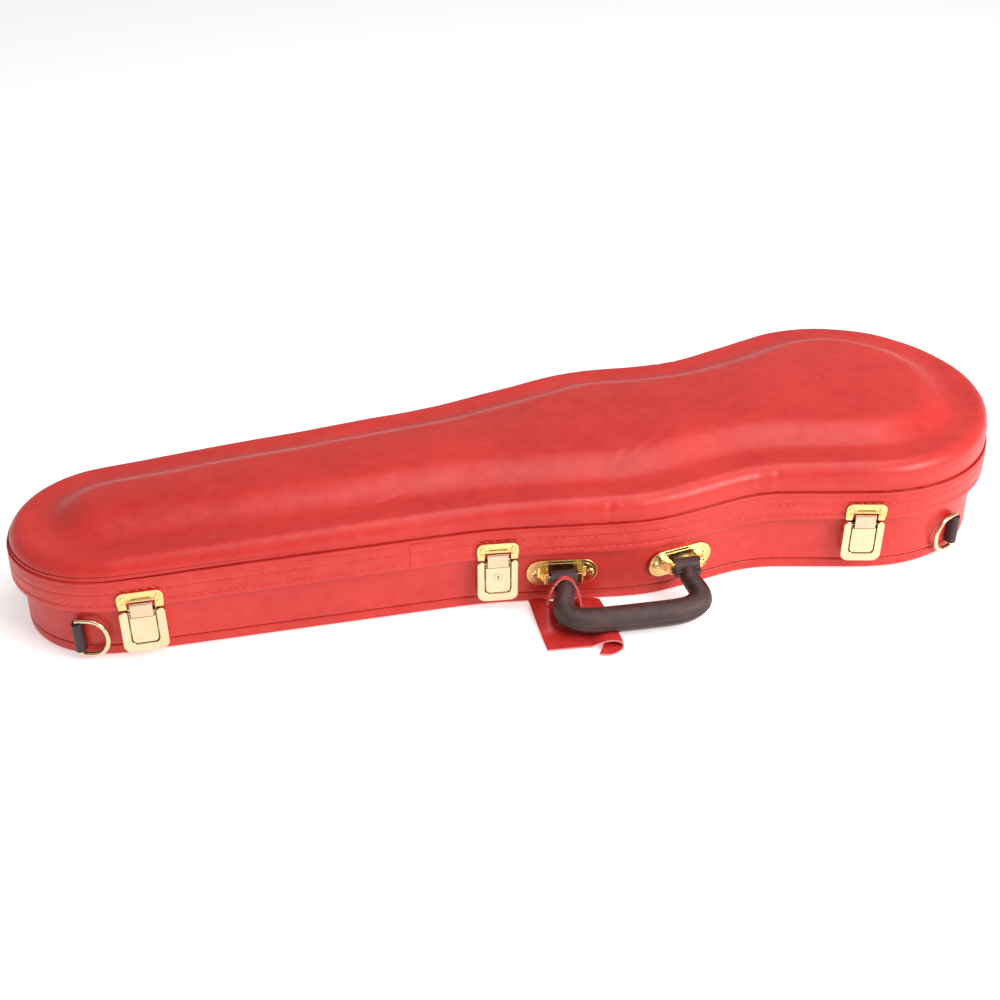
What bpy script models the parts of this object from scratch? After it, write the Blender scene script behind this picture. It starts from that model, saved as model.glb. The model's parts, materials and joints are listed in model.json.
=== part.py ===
"""Violin-shaped hard case, lid closed, lying on its back.

The frame: origin on the floor under the middle of the case, +X towards the wide (tail) end,
-Y towards the handle side, +Z up. Dimensions below are millimetres; MM turns them into metres.
"""

import math

import bmesh
import bpy
from mathutils import Matrix, Vector

MM = 0.001

# ---- outline of the case, seen from above -------------------------------------------------
# Arcs of the +Y half from the nose to the tail: centre x, centre y, radius, and +1 where the
# side bulges out or -1 where it is hollow. Straight tangents join them.
CASE_ARCS = (
    (-319.0, 0.0, 73.5, 1),
    (-91.0, 381.0, 296.2, -1),
    (72.5, -12.0, 121.3, 1),
    (155.0, 180.5, 82.0, -1),
    (276.5, 16.5, 109.7, 1),
    (257.5, 0.0, 134.8, 1),
)
VIOLIN_ARCS = (
    (100.0, 0.0, 90.0, 1),
    (92.0, 14.0, 74.0, 1),
    (177.0, 127.0, 62.0, -1),
    (280.0, 20.0, 86.0, 1),
    (250.0, 0.0, 122.0, 1),
)
ARC_STEP = math.radians(10)

# ---- levels: height at x = 0 and rise per millimetre towards the tail ---------------------
RIM_TOP = (89.4, 0.0259)
GROOVE = (70.6, 0.0091)
PARTING = (46.8, 0.011)
RIM_RADIUS = 11.5
DOME_RISE = 12.0

# ---- wall offsets from the rim's outline, outward positive --------------------------------
BAND_BULGE = 2.6
WALL = -4.3
LEATHER = 1.3
GAP = 0.3
SHELL = 4.0
TONGUE = 1.8
TONGUE_FOOT = 28.0
TONGUE_RISE = 6.0
BED_OFFSET = -13.0
BASE_LEATHER = 2.3

# ---- fittings -----------------------------------------------------------------------------
HINGE_OFFSET = 6.0
LATCHES = ((-305.0, 32.4), (-46.0, 31.0), (240.0, 31.0))
LATCH_DROP = 36.4
KEEPER_RISE = 15.0
HANDLE_PLATES_X = (2.5, 96.0)
HANDLE_PLATE_Z = 27.4
HANDLE_PIN_OFFSET = 4.2
HANDLE_PIN_Z = 28.2
HANDLE_DROOP = math.radians(23)
D_RINGS = ((-351.0, 19.0, 1), (326.0, 20.0, -1))

PARTS = bpy.data.collections.new("violin_case")
CUTTERS = bpy.data.collections.new("cutters")

COLOURS = {
    "red_leather": ((0.62, 0.03, 0.03), 0.42, 0.0),
    "dark_leather": ((0.035, 0.018, 0.014), 0.5, 0.0),
    "brass": ((0.86, 0.62, 0.27), 0.25, 1.0),
    "plywood": ((0.55, 0.4, 0.24), 0.6, 0.0),
    "plush": ((0.55, 0.42, 0.27), 0.9, 0.0),
    "padding": ((0.6, 0.48, 0.33), 0.9, 0.0),
}


# ---- scene and materials ------------------------------------------------------------------
def clear_scene():
    for obj in list(bpy.data.objects):
        bpy.data.objects.remove(obj)
    for collection in (PARTS, CUTTERS):
        bpy.context.scene.collection.children.link(collection)


def make_material(name):
    colour, roughness, metallic = COLOURS[name]
    material = bpy.data.materials.new(name)
    material.use_nodes = True
    shader = material.node_tree.nodes["Principled BSDF"]
    shader.inputs["Base Color"].default_value = (*colour, 1)
    shader.inputs["Roughness"].default_value = roughness
    shader.inputs["Metallic"].default_value = metallic
    material.diffuse_color = (*colour, 1)
    return material


# ---- outlines -----------------------------------------------------------------------------
def shared_normal(first, second):
    """Angle of the outward normal along the straight line that joins two arcs."""
    along = math.atan2(second[1] - first[1], second[0] - first[0])
    apart = math.hypot(second[0] - first[0], second[1] - first[1])
    lean = (first[3] * first[2] - second[3] * second[2]) / apart
    return along + math.acos(max(-1.0, min(1.0, lean)))


def half_outline(arcs):
    """Points and normal angles of the +Y half, from the nose to the tail."""
    turns = [shared_normal(a, b) for a, b in zip(arcs, arcs[1:])]
    samples = []
    angle = math.pi
    for (x, y, radius, bulge), turn in zip(arcs, turns + [0.0]):
        sweep = (turn - angle + math.pi) % (2 * math.pi) - math.pi
        steps = max(1, math.ceil(abs(sweep) / ARC_STEP))
        for i in range(steps + 1):
            a = angle + sweep * i / steps
            point = (x + bulge * radius * math.cos(a), y + bulge * radius * math.sin(a))
            samples.append((point, a))
        angle += sweep
    return samples


def ring(arcs, offset):
    """The whole outline moved outward by offset, as a list of (x, y)."""
    half = [
        (x + offset * math.cos(a), y + offset * math.sin(a)) for (x, y), a in half_outline(arcs)
    ]
    return half + [(x, -y) for x, y in half[-2:0:-1]]


def level(height, x, lift=0.0):
    return height[0] + height[1] * x + lift


def side_point(x):
    """Point and normal angle of the +Y side at x."""
    samples = half_outline(CASE_ARCS)
    for ((x0, y0), a0), ((x1, y1), a1) in zip(samples, samples[1:]):
        if x0 <= x < x1:
            t = (x - x0) / (x1 - x0)
            return Vector((x, y0 + t * (y1 - y0))), a0 + t * (a1 - a0)
    raise ValueError("x is beyond the outline")


def side_frame(x, side, offset, z):
    """A fitting's frame on the side: +X along the wall, -Y outward, +Z up, in millimetres."""
    point, angle = side_point(x)
    outward = Vector((math.cos(angle), side * math.sin(angle), 0))
    origin = Vector((point.x, side * point.y, z)) + offset * outward
    return frame_of(Vector((-outward.y, outward.x, 0)), origin)


def frame_of(along, origin):
    """A frame whose +X is along and whose +Z is as near up as that allows."""
    x_axis = along.normalized()
    y_axis = Vector((0, 0, 1)).cross(x_axis).normalized()
    z_axis = x_axis.cross(y_axis)
    turn = Matrix((x_axis, y_axis, z_axis)).transposed().to_4x4()
    return Matrix.Translation(origin) @ turn


def standoff(frame, half_width, offset):
    """How far outside the frame's origin a flat plate must lie to clear the curved wall."""
    inverse = frame.inverted()
    outline = [Vector((x, y, frame.translation.z)) for x, y in ring(CASE_ARCS, offset)]
    most = []
    for start, end in zip(outline, outline[1:] + outline[:1]):
        for i in range(40):
            local = inverse @ start.lerp(end, i / 40)
            if abs(local.x) <= half_width and abs(local.y) < 40:
                most.append(-local.y)
    return max(most) + GAP


# ---- building blocks, in millimetres ------------------------------------------------------
def new_object(name, bm, material, frame=None, pivot=None, smooth=False):
    """Turns the bmesh, given in millimetres in the frame, into an object in metres."""
    bmesh.ops.scale(bm, vec=(MM, MM, MM), verts=bm.verts)
    bmesh.ops.recalc_face_normals(bm, faces=bm.faces)
    mesh = bpy.data.meshes.new(name)
    bm.to_mesh(mesh)
    bm.free()
    if smooth:
        mesh.shade_smooth()
        mesh.set_sharp_from_angle(angle=math.radians(35))
    obj = bpy.data.objects.new(name, mesh)
    mesh.materials.append(bpy.data.materials.get(material) or make_material(material))
    PARTS.objects.link(obj)
    obj.matrix_world = in_metres(frame or Matrix())
    if pivot is not None:
        hang_on(obj, pivot)
    return obj


def in_metres(frame):
    metres = frame.copy()
    metres.translation *= MM
    return metres


def hang_on(obj, pivot):
    obj.parent = pivot
    obj.matrix_parent_inverse = pivot.matrix_world.inverted()


def new_pivot(name, frame, parent=None):
    """An empty whose +X is the joint's axis."""
    empty = bpy.data.objects.new(name, None)
    empty.empty_display_size = 0.02
    PARTS.objects.link(empty)
    empty.matrix_world = in_metres(frame)
    bpy.context.view_layer.update()
    if parent is not None:
        hang_on(empty, parent)
    return empty


def loft(arcs, profile, closed=False):
    """Rings of the outline joined by faces. Each profile entry is (offset, level, lift)."""
    bm = bmesh.new()
    loops = []
    for offset, height, lift in profile:
        loops.append([bm.verts.new((x, y, level(height, x, lift))) for x, y in ring(arcs, offset)])
    pairs = list(zip(loops, loops[1:]))
    if closed:
        pairs.append((loops[-1], loops[0]))
    else:
        bm.faces.new(loops[0])
        bm.faces.new(loops[-1])
    for low, high in pairs:
        for i in range(len(low)):
            j = (i + 1) % len(low)
            bm.faces.new((low[i], low[j], high[j], high[i]))
    return bm


def rounded(x0, x1, z0, z1, radii, steps=3):
    """A rectangle's outline with round corners: bottom left, bottom right, top right, top left."""
    corners = ((x0, z0, 1, 1, 180), (x1, z0, -1, 1, 270), (x1, z1, -1, -1, 0), (x0, z1, 1, -1, 90))
    points = []
    for (x, z, inward_x, inward_z, start), radius in zip(corners, radii):
        if radius == 0:
            points.append((x, z))
            continue
        for i in range(steps + 1):
            a = math.radians(start + 90 * i / steps)
            points.append(
                (
                    x + inward_x * radius + radius * math.cos(a),
                    z + inward_z * radius + radius * math.sin(a),
                )
            )
    return points


def circle(x, z, radius, sides=16):
    turn = 2 * math.pi / sides
    return [
        (x + radius * math.cos(turn * i), z + radius * math.sin(turn * i)) for i in range(sides)
    ]


def prism(outline, low, high, along="y"):
    """The flat outline extruded along one local axis."""
    order = {
        "x": lambda a, b, t: (t, a, b),
        "y": lambda a, b, t: (a, t, b),
        "z": lambda a, b, t: (a, b, t),
    }
    bm = bmesh.new()
    face = bm.faces.new([bm.verts.new(order[along](a, b, low)) for a, b in outline])
    grown = bmesh.ops.extrude_face_region(bm, geom=[face])
    moved = [v for v in grown["geom"] if isinstance(v, bmesh.types.BMVert)]
    shift = Vector(order[along](0, 0, high - low))
    bmesh.ops.translate(bm, vec=shift, verts=moved)
    return bm


def block(low, high):
    bm = bmesh.new()
    bmesh.ops.create_cube(bm, size=1)
    size = Vector(high) - Vector(low)
    bmesh.ops.scale(bm, vec=size, verts=bm.verts)
    bmesh.ops.translate(bm, vec=(Vector(high) + Vector(low)) / 2, verts=bm.verts)
    return bm


def combine(obj, bm, frame, operation="DIFFERENCE"):
    """Cuts the shape out of the object, or joins it on, with a Boolean."""
    tool = new_object(f"{obj.name}_tool", bm, obj.data.materials[0].name, frame)
    PARTS.objects.unlink(tool)
    CUTTERS.objects.link(tool)
    tool.hide_render = True
    tool.display_type = "WIRE"
    modifier = obj.modifiers.new(operation.lower(), "BOOLEAN")
    modifier.operation = operation
    modifier.object = tool


def soften(obj, width, segments=2):
    modifier = obj.modifiers.new("soften", "BEVEL")
    modifier.width = width * MM
    modifier.segments = segments
    modifier.limit_method = "ANGLE"
    modifier.angle_limit = math.radians(50)


def new_halves(name, make_shape, material, pivot=None):
    """A shell in a front and a rear half, which meet along the case's centre line."""
    reach = 500
    for half, low, high in (("front", -GAP / 2, reach), ("rear", -reach, GAP / 2)):
        shell = new_object(f"{name}_{half}", make_shape(), material, pivot=pivot, smooth=True)
        combine(shell, block((-reach, low, -reach), (reach, high, reach)), Matrix())


def pipe(name, points, radii, material, pivot, closed=False, sides=2):
    """A round tube through the points, given in world millimetres, with its own radii."""
    curve = bpy.data.curves.new(name, "CURVE")
    curve.dimensions = "3D"
    curve.bevel_depth = max(radii) * MM
    curve.bevel_resolution = sides
    curve.use_fill_caps = not closed
    spline = curve.splines.new("POLY")
    spline.points.add(len(points) - 1)
    spline.use_cyclic_u = closed
    for target, point, radius in zip(spline.points, points, radii):
        target.co = (*(Vector(point) * MM), 1)
        target.radius = radius / max(radii)
    curve.materials.append(bpy.data.materials.get(material) or make_material(material))
    obj = bpy.data.objects.new(name, curve)
    PARTS.objects.link(obj)
    hang_on(obj, pivot)
    return obj


# ---- the base -----------------------------------------------------------------------------
FLOOR = (0.0, 0.0)


def make_base():
    body_top = -GAP - 0.2
    outer = WALL - LEATHER - GAP
    inner = outer - SHELL - 0.5
    new_object(
        "base_leather",
        loft(CASE_ARCS, ((WALL - 1.5, FLOOR, 0), (WALL, FLOOR, 1.2), (WALL, FLOOR, BASE_LEATHER))),
        "red_leather",
        smooth=True,
    )
    above = BASE_LEATHER + GAP
    new_object(
        "side_leather",
        loft(
            CASE_ARCS,
            (
                (WALL, FLOOR, above),
                (WALL, PARTING, body_top),
                (WALL - LEATHER, PARTING, body_top),
                (WALL - LEATHER, FLOOR, above),
            ),
            closed=True,
        ),
        "red_leather",
        smooth=True,
    )
    shell = (
        (outer, FLOOR, above),
        (outer, PARTING, body_top),
        (inner, PARTING, body_top),
        (inner, FLOOR, above + SHELL),
    )
    new_halves("body_shell", lambda: loft(CASE_ARCS, shell), "plywood")
    tongue_outer = inner - GAP
    tongue_inner = tongue_outer - TONGUE
    tongue = (
        (tongue_outer, FLOOR, TONGUE_FOOT),
        (tongue_outer, PARTING, TONGUE_RISE),
        (tongue_inner, PARTING, TONGUE_RISE),
        (tongue_inner, FLOOR, TONGUE_FOOT),
    )
    new_halves("rim_tongue", lambda: loft(CASE_ARCS, tongue, closed=True), "plywood")


BED_FLOOR = 12.0
BED_TOP = (40.5, 0.011)
CHEST_X = -256.0
CHEST_RADIUS = 52.0
NOSE_X = -319.0


def chest_outline(inset):
    """The accessory chest's outline: round at the nose, square towards the neck."""
    radius = CHEST_RADIUS - inset
    turn = [math.radians(90 + 15 * i) for i in range(13)]
    arc = [(NOSE_X + radius * math.cos(a), radius * math.sin(a)) for a in turn]
    return arc + [(CHEST_X - inset, -radius), (CHEST_X - inset, radius)]


def make_bed():
    bottom = BASE_LEATHER + SHELL + 2 * GAP
    bed = new_object(
        "instrument_bed",
        loft(CASE_ARCS, ((BED_OFFSET, FLOOR, bottom), (BED_OFFSET, BED_TOP, 0))),
        "plush",
        smooth=True,
    )
    top = BED_TOP[0] + 20
    hollow = loft(VIOLIN_ARCS, ((0, FLOOR, BED_FLOOR), (0, FLOOR, top)))
    combine(bed, hollow, Matrix())
    combine(bed, block((-245, -34, BED_FLOOR), (60, 34, top)), Matrix())
    combine(bed, prism(chest_outline(0), BED_FLOOR, top, "z"), Matrix())

    floor = BED_FLOOR + GAP
    cradle = new_object("neck_cradle", block((-62, -33.5, floor), (-30, 33.5, 34)), "padding")
    combine(cradle, prism(circle(0, 34, 17), -70, -20, "x"), Matrix())
    strap = new_object("neck_strap", block((-54, -31, 34.3), (-38, 31, 35.6)), "dark_leather")
    soften(strap, 0.4, 1)
    for name, x in (("lower_block_pad", 352), ("upper_block_pad", 30)):
        pad = new_object(name, block((x - 15, -30, floor), (x + 15, 30, 20)), "padding", smooth=True)
        soften(pad, 2.5)


def make_chest():
    frame_top = BED_TOP[0] + BED_TOP[1] * NOSE_X - 4.5
    wall = new_object(
        "accessory_box",
        prism(chest_outline(GAP), BED_FLOOR + GAP, frame_top, "z"),
        "padding",
    )
    combine(wall, prism(chest_outline(2.5), BED_FLOOR + 2, frame_top + 5, "z"), Matrix())
    z0 = frame_top + GAP
    hinge = frame_of(Vector((0, 1, 0)), Vector((CHEST_X, 0, z0 + 2.8)))
    pivot = new_pivot("accessory_pivot", hinge)
    lid = prism(chest_outline(0.8), z0, z0 + 2.8, "z")
    new_object("accessory_lid", lid, "plush", pivot=pivot)
    tab = prism(rounded(-362, -340, -7, 7, (5, 0, 0, 5)), z0 + 3.1, z0 + 4.3, "z")
    new_object("accessory_tab", tab, "dark_leather", pivot=pivot)


# ---- the lid ------------------------------------------------------------------------------
LINING = 1.3


def cover_profile(inset):
    """The lid's outer profile moved inward by inset: side, round rim, flat border, dome."""
    side = [(-inset, GROOVE, 0.6), (-inset, RIM_TOP, -RIM_RADIUS)]
    radius = RIM_RADIUS - inset
    rim = []
    for i in range(1, 4):
        a = math.radians(30 * i)
        rim.append(
            (-RIM_RADIUS + radius * math.cos(a), RIM_TOP, -RIM_RADIUS + radius * math.sin(a))
        )
    dome = [
        (offset, RIM_TOP, DOME_RISE * rise - inset)
        for offset, rise in ((-28, 0.0), (-36, 0.22), (-48, 0.72), (-64, 1.0))
    ]
    return side + rim + dome


def make_lid(pivot):
    shell_out = LEATHER + GAP
    shell_in = shell_out + SHELL
    lining_out = shell_in + GAP
    lining_in = lining_out + LINING
    cover = cover_profile(0.0)[::-1] + cover_profile(LEATHER)
    new_object("lid_top_leather", loft(CASE_ARCS, cover), "red_leather", pivot=pivot, smooth=True)

    def skirted(inset, lift):
        return [(-inset, PARTING, lift)] + cover_profile(inset)[1:]

    shell = skirted(shell_out, 0.0)[::-1] + skirted(shell_in, 0.0)
    new_halves("lid_shell", lambda: loft(CASE_ARCS, shell), "plywood", pivot)
    lining = skirted(lining_out, 0.8)[::-1] + skirted(lining_in, 0.8)
    new_object("lid_lining", loft(CASE_ARCS, lining), "plush", pivot=pivot, smooth=True)

    inner = -shell_out + GAP
    band = (
        (BAND_BULGE - 0.4, PARTING, 0.0),
        (BAND_BULGE, PARTING, 1.0),
        (BAND_BULGE - 0.6, GROOVE, -2.5),
        (0.9, GROOVE, -0.6),
        (inner, GROOVE, -0.6),
        (inner, PARTING, 0.0),
    )
    skirt = loft(CASE_ARCS, band, closed=True)
    new_object("lid_band", skirt, "red_leather", pivot=pivot, smooth=True)


HOLDER = (300.0, 50.0)
TIP_POCKET_Y = 22.0


def make_bow_fittings(lid_pivot):
    """Two bows ride in the lid: a turning holder at the tail, a pocket for the tip at the nose."""
    ceiling = level(RIM_TOP, HOLDER[0], DOME_RISE) - LEATHER - 2 * GAP - SHELL - LINING - 1.0
    for name, side in (("left", -1), ("right", 1)):
        x, y = HOLDER[0], side * HOLDER[1]
        base = prism(circle(x, y, 9), ceiling - 12, ceiling, "z")
        new_object(f"bow_holder_base_{name}", base, "dark_leather", pivot=lid_pivot, smooth=True)
        middle = Matrix.Translation((x, y, ceiling - 12.3))
        upright = middle @ Matrix.Rotation(math.radians(-90), 4, "Y")
        pivot = new_pivot(f"bow_holder_{name}_pivot", upright, lid_pivot)
        outline = rounded(x - 24, x + 8, y - 7, y + 7, (6, 6, 6, 6))
        toggle = prism(outline, ceiling - 16, ceiling - 12.3, "z")
        holder = new_object(f"bow_holder_{name}", toggle, "dark_leather", pivot=pivot, smooth=True)
        soften(holder, 0.8, 1)
        centre = side * TIP_POCKET_Y
        outline = rounded(-358, -318, centre - 14, centre + 14, (9, 2, 2, 9))
        pocket = new_object(
            f"bow_tip_pocket_{name}", prism(outline, 54, 66, "z"), "plush", pivot=lid_pivot
        )
        combine(pocket, block((-353, centre - 11, 56), (-310, centre + 11, 64)), Matrix())


# ---- rear hinges --------------------------------------------------------------------------
KNUCKLE_RADIUS = 2.6
PIN_RADIUS = 1.3


def hinge_line():
    """Centres of the two rear hinges, on the common tangent of the bouts, in the parting plane."""
    bouts = (CASE_ARCS[2], CASE_ARCS[4])
    angle = shared_normal(*bouts)
    centres = []
    for x, y, radius, _ in bouts:
        reach = radius + HINGE_OFFSET
        foot = Vector((x + reach * math.cos(angle), y + reach * math.sin(angle), 0))
        centres.append(foot + Vector((0, 0, level(PARTING, foot.x))))
    return centres


def make_hinge(index, centre, along, pivot):
    frame = frame_of(along, centre)
    name = f"hinge_{index}"
    reach = HINGE_OFFSET - WALL
    # The wall stands at +Y of this frame seen from behind, so the leaves lie towards +Y.
    body_knuckles = ((-15.0, -5.3), (5.3, 15.0))
    foot = reach - GAP - 1.6
    leaf = new_object(
        f"{name}_body_leaf", block((-15, foot, -24), (15, foot + 1.2, -4.2)), "brass", frame
    )
    combine(leaf, block((-15, 0.5, -5.4), (15, foot + 0.6, -4.2)), frame, "UNION")
    for low, high in body_knuckles:
        combine(leaf, block((low, -1.5, -5.0), (high, 1.5, -0.5)), frame, "UNION")
        combine(leaf, prism(circle(0, 0, KNUCKLE_RADIUS), low, high, "x"), frame, "UNION")
    combine(leaf, prism(circle(0, 0, PIN_RADIUS + 0.08), -20, 20, "x"), frame)

    lid_leaf = new_object(
        f"{name}_lid_leaf", block((-15, 1.4, 4.0), (15, 2.6, 19)), "brass", frame, pivot
    )
    combine(lid_leaf, block((-4.8, -1.0, 0.5), (4.8, 2.6, 5)), frame, "UNION")
    knuckle = prism(circle(0, 0, KNUCKLE_RADIUS), -4.8, 4.8, "x")
    combine(lid_leaf, knuckle, frame, "UNION")
    combine(lid_leaf, prism(circle(0, 0, PIN_RADIUS + 0.08), -20, 20, "x"), frame)

    pin = prism(circle(0, 0, PIN_RADIUS), -16.5, 16.5, "x")
    new_object(f"{name}_pin", pin, "brass", frame, smooth=True)


# ---- latches ------------------------------------------------------------------------------
LEVER_PIVOT = (-0.9, -4.5)
HASP_PIVOT = (-5.1, -5.3)
LEVER_BOSS = 1.5
LEVER_WEB = ((-3.8, -6.8), (-3.8, -10.6), (-0.5, -5.9), (-2.1, -4.5))
LEVER_TOP = -6.4
LEVER_FOOT = -28.5
LATCH_FACE = -5.2
RECESS = 9.9
RECESS_FOOT = -29.3
LOCK_Z = -14.6
PIN_BORE = 0.98
HASP_HALF = 8.1


def make_latch(index, x, width, lid_pivot, locking):
    name = f"latch_{index}"
    frame = side_frame(x, -1, 0.0, level(PARTING, x))
    half = width / 2
    wall = -standoff(frame, half, WALL)
    plate = new_object(
        f"{name}_plate",
        prism(rounded(-half, half, -LATCH_DROP, -0.8, (6, 6, 5, 5), 2), LATCH_FACE, wall),
        "brass",
        frame,
    )
    combine(plate, block((-RECESS, LATCH_FACE - 2, RECESS_FOOT), (RECESS, 0.9, 5)), frame)
    pin_cut = prism(circle(*LEVER_PIVOT, PIN_BORE), -half + 1.5, half - 1.5, "x")
    combine(plate, pin_cut, frame)
    pin = prism(circle(*LEVER_PIVOT, 0.9), -half + 2, half - 2, "x")
    new_object(f"{name}_pin", pin, "brass", frame, smooth=True)

    make_keeper(name, half, frame, lid_pivot)
    lever_pivot = make_lever(name, frame, locking)
    hasp_frame = frame @ Matrix.Translation((0, *HASP_PIVOT))
    hasp_pivot = new_pivot(f"{name}_hasp_pivot", hasp_frame, lever_pivot)
    y, z = HASP_PIVOT
    radius = 0.7
    foot = [
        (y + radius * math.cos(math.radians(a)), z + radius * math.sin(math.radians(a)))
        for a in (180, 225, 270, 315, 360)
    ]
    side = foot + [(y + radius, 4.6), (y, 5.6), (y - radius, 5.6)]
    hasp = new_object(
        f"{name}_hasp", prism(side, -HASP_HALF, HASP_HALF, "x"), "brass", frame, hasp_pivot
    )
    soften(hasp, 0.3, 1)


def make_keeper(name, half, frame, lid_pivot):
    band = -standoff(frame, half, BAND_BULGE)
    keeper = new_object(
        f"{name}_keeper",
        prism(rounded(-half, half, 0.2, KEEPER_RISE, (1, 1, 5, 5), 2), band - 1.5, band),
        "brass",
        frame,
        lid_pivot,
    )
    combine(keeper, block((-RECESS, band - 5, -3), (RECESS, band + 2, 7.2)), frame)
    window = prism(rounded(-7, 7, 8.6, 11.2, (1, 1, 1, 1), 1), band - 5, band + 2)
    combine(keeper, window, frame)
    for x in (-half + 4.2, half - 4.2):
        rivet = prism(circle(x, 9.0, 1.6, 10), band - 2.3, band - 0.7)
        combine(keeper, rivet, frame, "UNION")


def make_lever(name, frame, locking):
    pivot = new_pivot(f"{name}_lever_pivot", frame @ Matrix.Translation((0, *LEVER_PIVOT)))
    y, z = LEVER_PIVOT
    face = prism(
        rounded(-RECESS + 0.8, RECESS - 0.8, LEVER_FOOT, LEVER_TOP, (4, 4, 0.8, 0.8), 2), -5.0, -3.6
    )
    lever = new_object(f"{name}_lever", face, "brass", frame, pivot)
    combine(lever, prism(LEVER_WEB, -RECESS + 0.8, RECESS - 0.8, "x"), frame, "UNION")
    boss = prism(circle(y, z, LEVER_BOSS, 12), -RECESS + 0.8, RECESS - 0.8, "x")
    combine(lever, boss, frame, "UNION")
    combine(lever, prism(circle(y, z, PIN_BORE), -20, 20, "x"), frame)
    if locking:
        combine(lever, prism(circle(0, LOCK_Z, 3.0), -8, 0), frame)
        lock_frame = frame @ Matrix.Translation((0, 0, LOCK_Z))
        quarter = Matrix.Rotation(math.radians(90), 4, "Z")
        lock_pivot = new_pivot("lock_pivot", lock_frame @ quarter, pivot)
        disc = prism(circle(0, LOCK_Z, 2.7), -5.4, -2.6)
        plug = new_object("lock_plug", disc, "brass", frame, lock_pivot, smooth=True)
        combine(plug, block((-0.5, -7, LOCK_Z - 1.7), (0.5, -3.6, LOCK_Z + 1.7)), frame)
    return pivot


# ---- carrying handle ----------------------------------------------------------------------
PLATE_HALF = 27.0
LOOP_HALF = 9.5
LOOP_RADIUS = 4.0
EAR_X = 11.6
HANDLE_PIN_RADIUS = 1.6


def handle_frame():
    """+X along the line of the two pins, -Y outward, origin midway between them."""
    pins = [
        side_frame(x, -1, HANDLE_PIN_OFFSET, HANDLE_PIN_Z).translation for x in HANDLE_PLATES_X
    ]
    return frame_of(pins[1] - pins[0], (pins[0] + pins[1]) / 2), (pins[1] - pins[0]).length / 2


def make_handle():
    frame, half_span = handle_frame()
    pivot = new_pivot("handle_pivot", frame)
    for name, x, side in (("left", HANDLE_PLATES_X[0], -1), ("right", HANDLE_PLATES_X[1], 1)):
        make_handle_plate(name, x, frame, side * half_span)
        low, high = side * half_span - LOOP_HALF, side * half_span + LOOP_HALF
        loop = new_object(
            f"handle_loop_{name}",
            prism(circle(0, 0, LOOP_RADIUS), low, high, "x"),
            "dark_leather",
            frame,
            pivot,
            True,
        )
        reach = frame @ Matrix.Rotation(HANDLE_DROOP, 4, "X")
        low, high = side * half_span - 7.5, side * half_span + 7.5
        combine(loop, block((low, -9.5, -3.6), (high, 0, 3.6)), reach, "UNION")
        bore = prism(circle(0, 0, HANDLE_PIN_RADIUS + 0.1), -60, 60, "x")
        combine(loop, bore, frame)
    make_grip(frame, half_span, pivot)
    return frame, pivot


def make_handle_plate(name, x, handle, pin_x):
    frame = side_frame(x, -1, 0.0, HANDLE_PLATE_Z)
    wall = -standoff(frame, PLATE_HALF, WALL)
    oval = rounded(-PLATE_HALF, PLATE_HALF, -11, 11, (11, 11, 11, 11), 4)
    plate = new_object(f"handle_plate_{name}", prism(oval, wall - 1.8, wall), "brass", frame)
    for side in (-1, 1):
        inner, outer = side * EAR_X, side * (EAR_X + 3)
        low, high = min(inner, outer), max(inner, outer)
        ear = rounded(-HANDLE_PIN_OFFSET - 3.6, wall - 0.9, -4, 4, (3.5, 0, 0, 3.5))
        post = prism(ear, low, high, "x")
        combine(plate, post, frame, "UNION")
        screw = prism(circle(side * 20.5, 0, 3.0, 12), wall - 2.8, wall - 0.9)
        combine(plate, screw, frame, "UNION")
    reach = EAR_X + 5
    bore = prism(circle(0, 0, HANDLE_PIN_RADIUS + 0.1), pin_x - reach, pin_x + reach, "x")
    combine(plate, bore, handle)
    pin = prism(circle(0, 0, HANDLE_PIN_RADIUS), pin_x - reach, pin_x + reach, "x")
    new_object(f"handle_pin_{name}", pin, "brass", handle, smooth=True)


def make_grip(frame, half_span, pivot):
    """The padded grip: a bowed leg at each end and a straight middle, in the drooping plane."""
    legs = ((0.0, 9.9, 6.6), (0.2, 13.0, 6.9), (1.8, 17.5, 7.3), (4.0, 23.5, 7.8), (4.4, 29.0, 8.3))
    elbow = ((2.0, 34.4, 8.8), (-4.5, 38.2, 9.3))
    middle = ((-13.0, 40.3, 9.8), (-28.0, 41.1, 10.0))
    half = [(half_span + out, reach, radius) for out, reach, radius in legs + elbow + middle]
    route = [(-x, reach, radius) for x, reach, radius in half]
    route += [(x, reach, radius) for x, reach, radius in half[::-1]]
    turn = frame @ Matrix.Rotation(HANDLE_DROOP, 4, "X")
    points = [turn @ Vector((x, -reach, 0)) for x, reach, _ in route]
    pipe("handle_grip", points, [radius for _, _, radius in route], "dark_leather", pivot, sides=3)


# ---- luggage tag on the handle's left leg -------------------------------------------------
TAG_REACH = 12.5


def make_tag(handle, half_span, handle_pivot):
    """A leather tag hung from the leg: a strap round the leg and a flap that lies on the floor."""
    leg = handle @ Matrix.Rotation(HANDLE_DROOP, 4, "X") @ Vector((-half_span - 0.3, -TAG_REACH, 0))
    frame = Matrix.Translation(leg) @ handle.to_3x3().to_4x4()
    pivot = new_pivot("tag_pivot", frame, handle_pivot)
    tilt = frame @ Matrix.Rotation(math.radians(90) + HANDLE_DROOP, 4, "X")
    outer = prism(circle(0, 0, 10.2, 20), -1.2, 1.2, "z")
    collar = new_object("tag_strap", outer, "red_leather", tilt, handle_pivot)
    combine(collar, prism(circle(0, 0, 8.8, 20), -4, 4, "z"), tilt)
    floor = -leg.z
    side = ((-53.5, 0.4), (2.5, 0.4), (2.5, 1.8), (-53.5, 1.8))
    flap = new_object(
        "tag_flap", prism([(y, floor + z) for y, z in side], -26, 29, "x"), "red_leather", frame, pivot
    )
    soften(flap, 0.4, 1)


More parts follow.
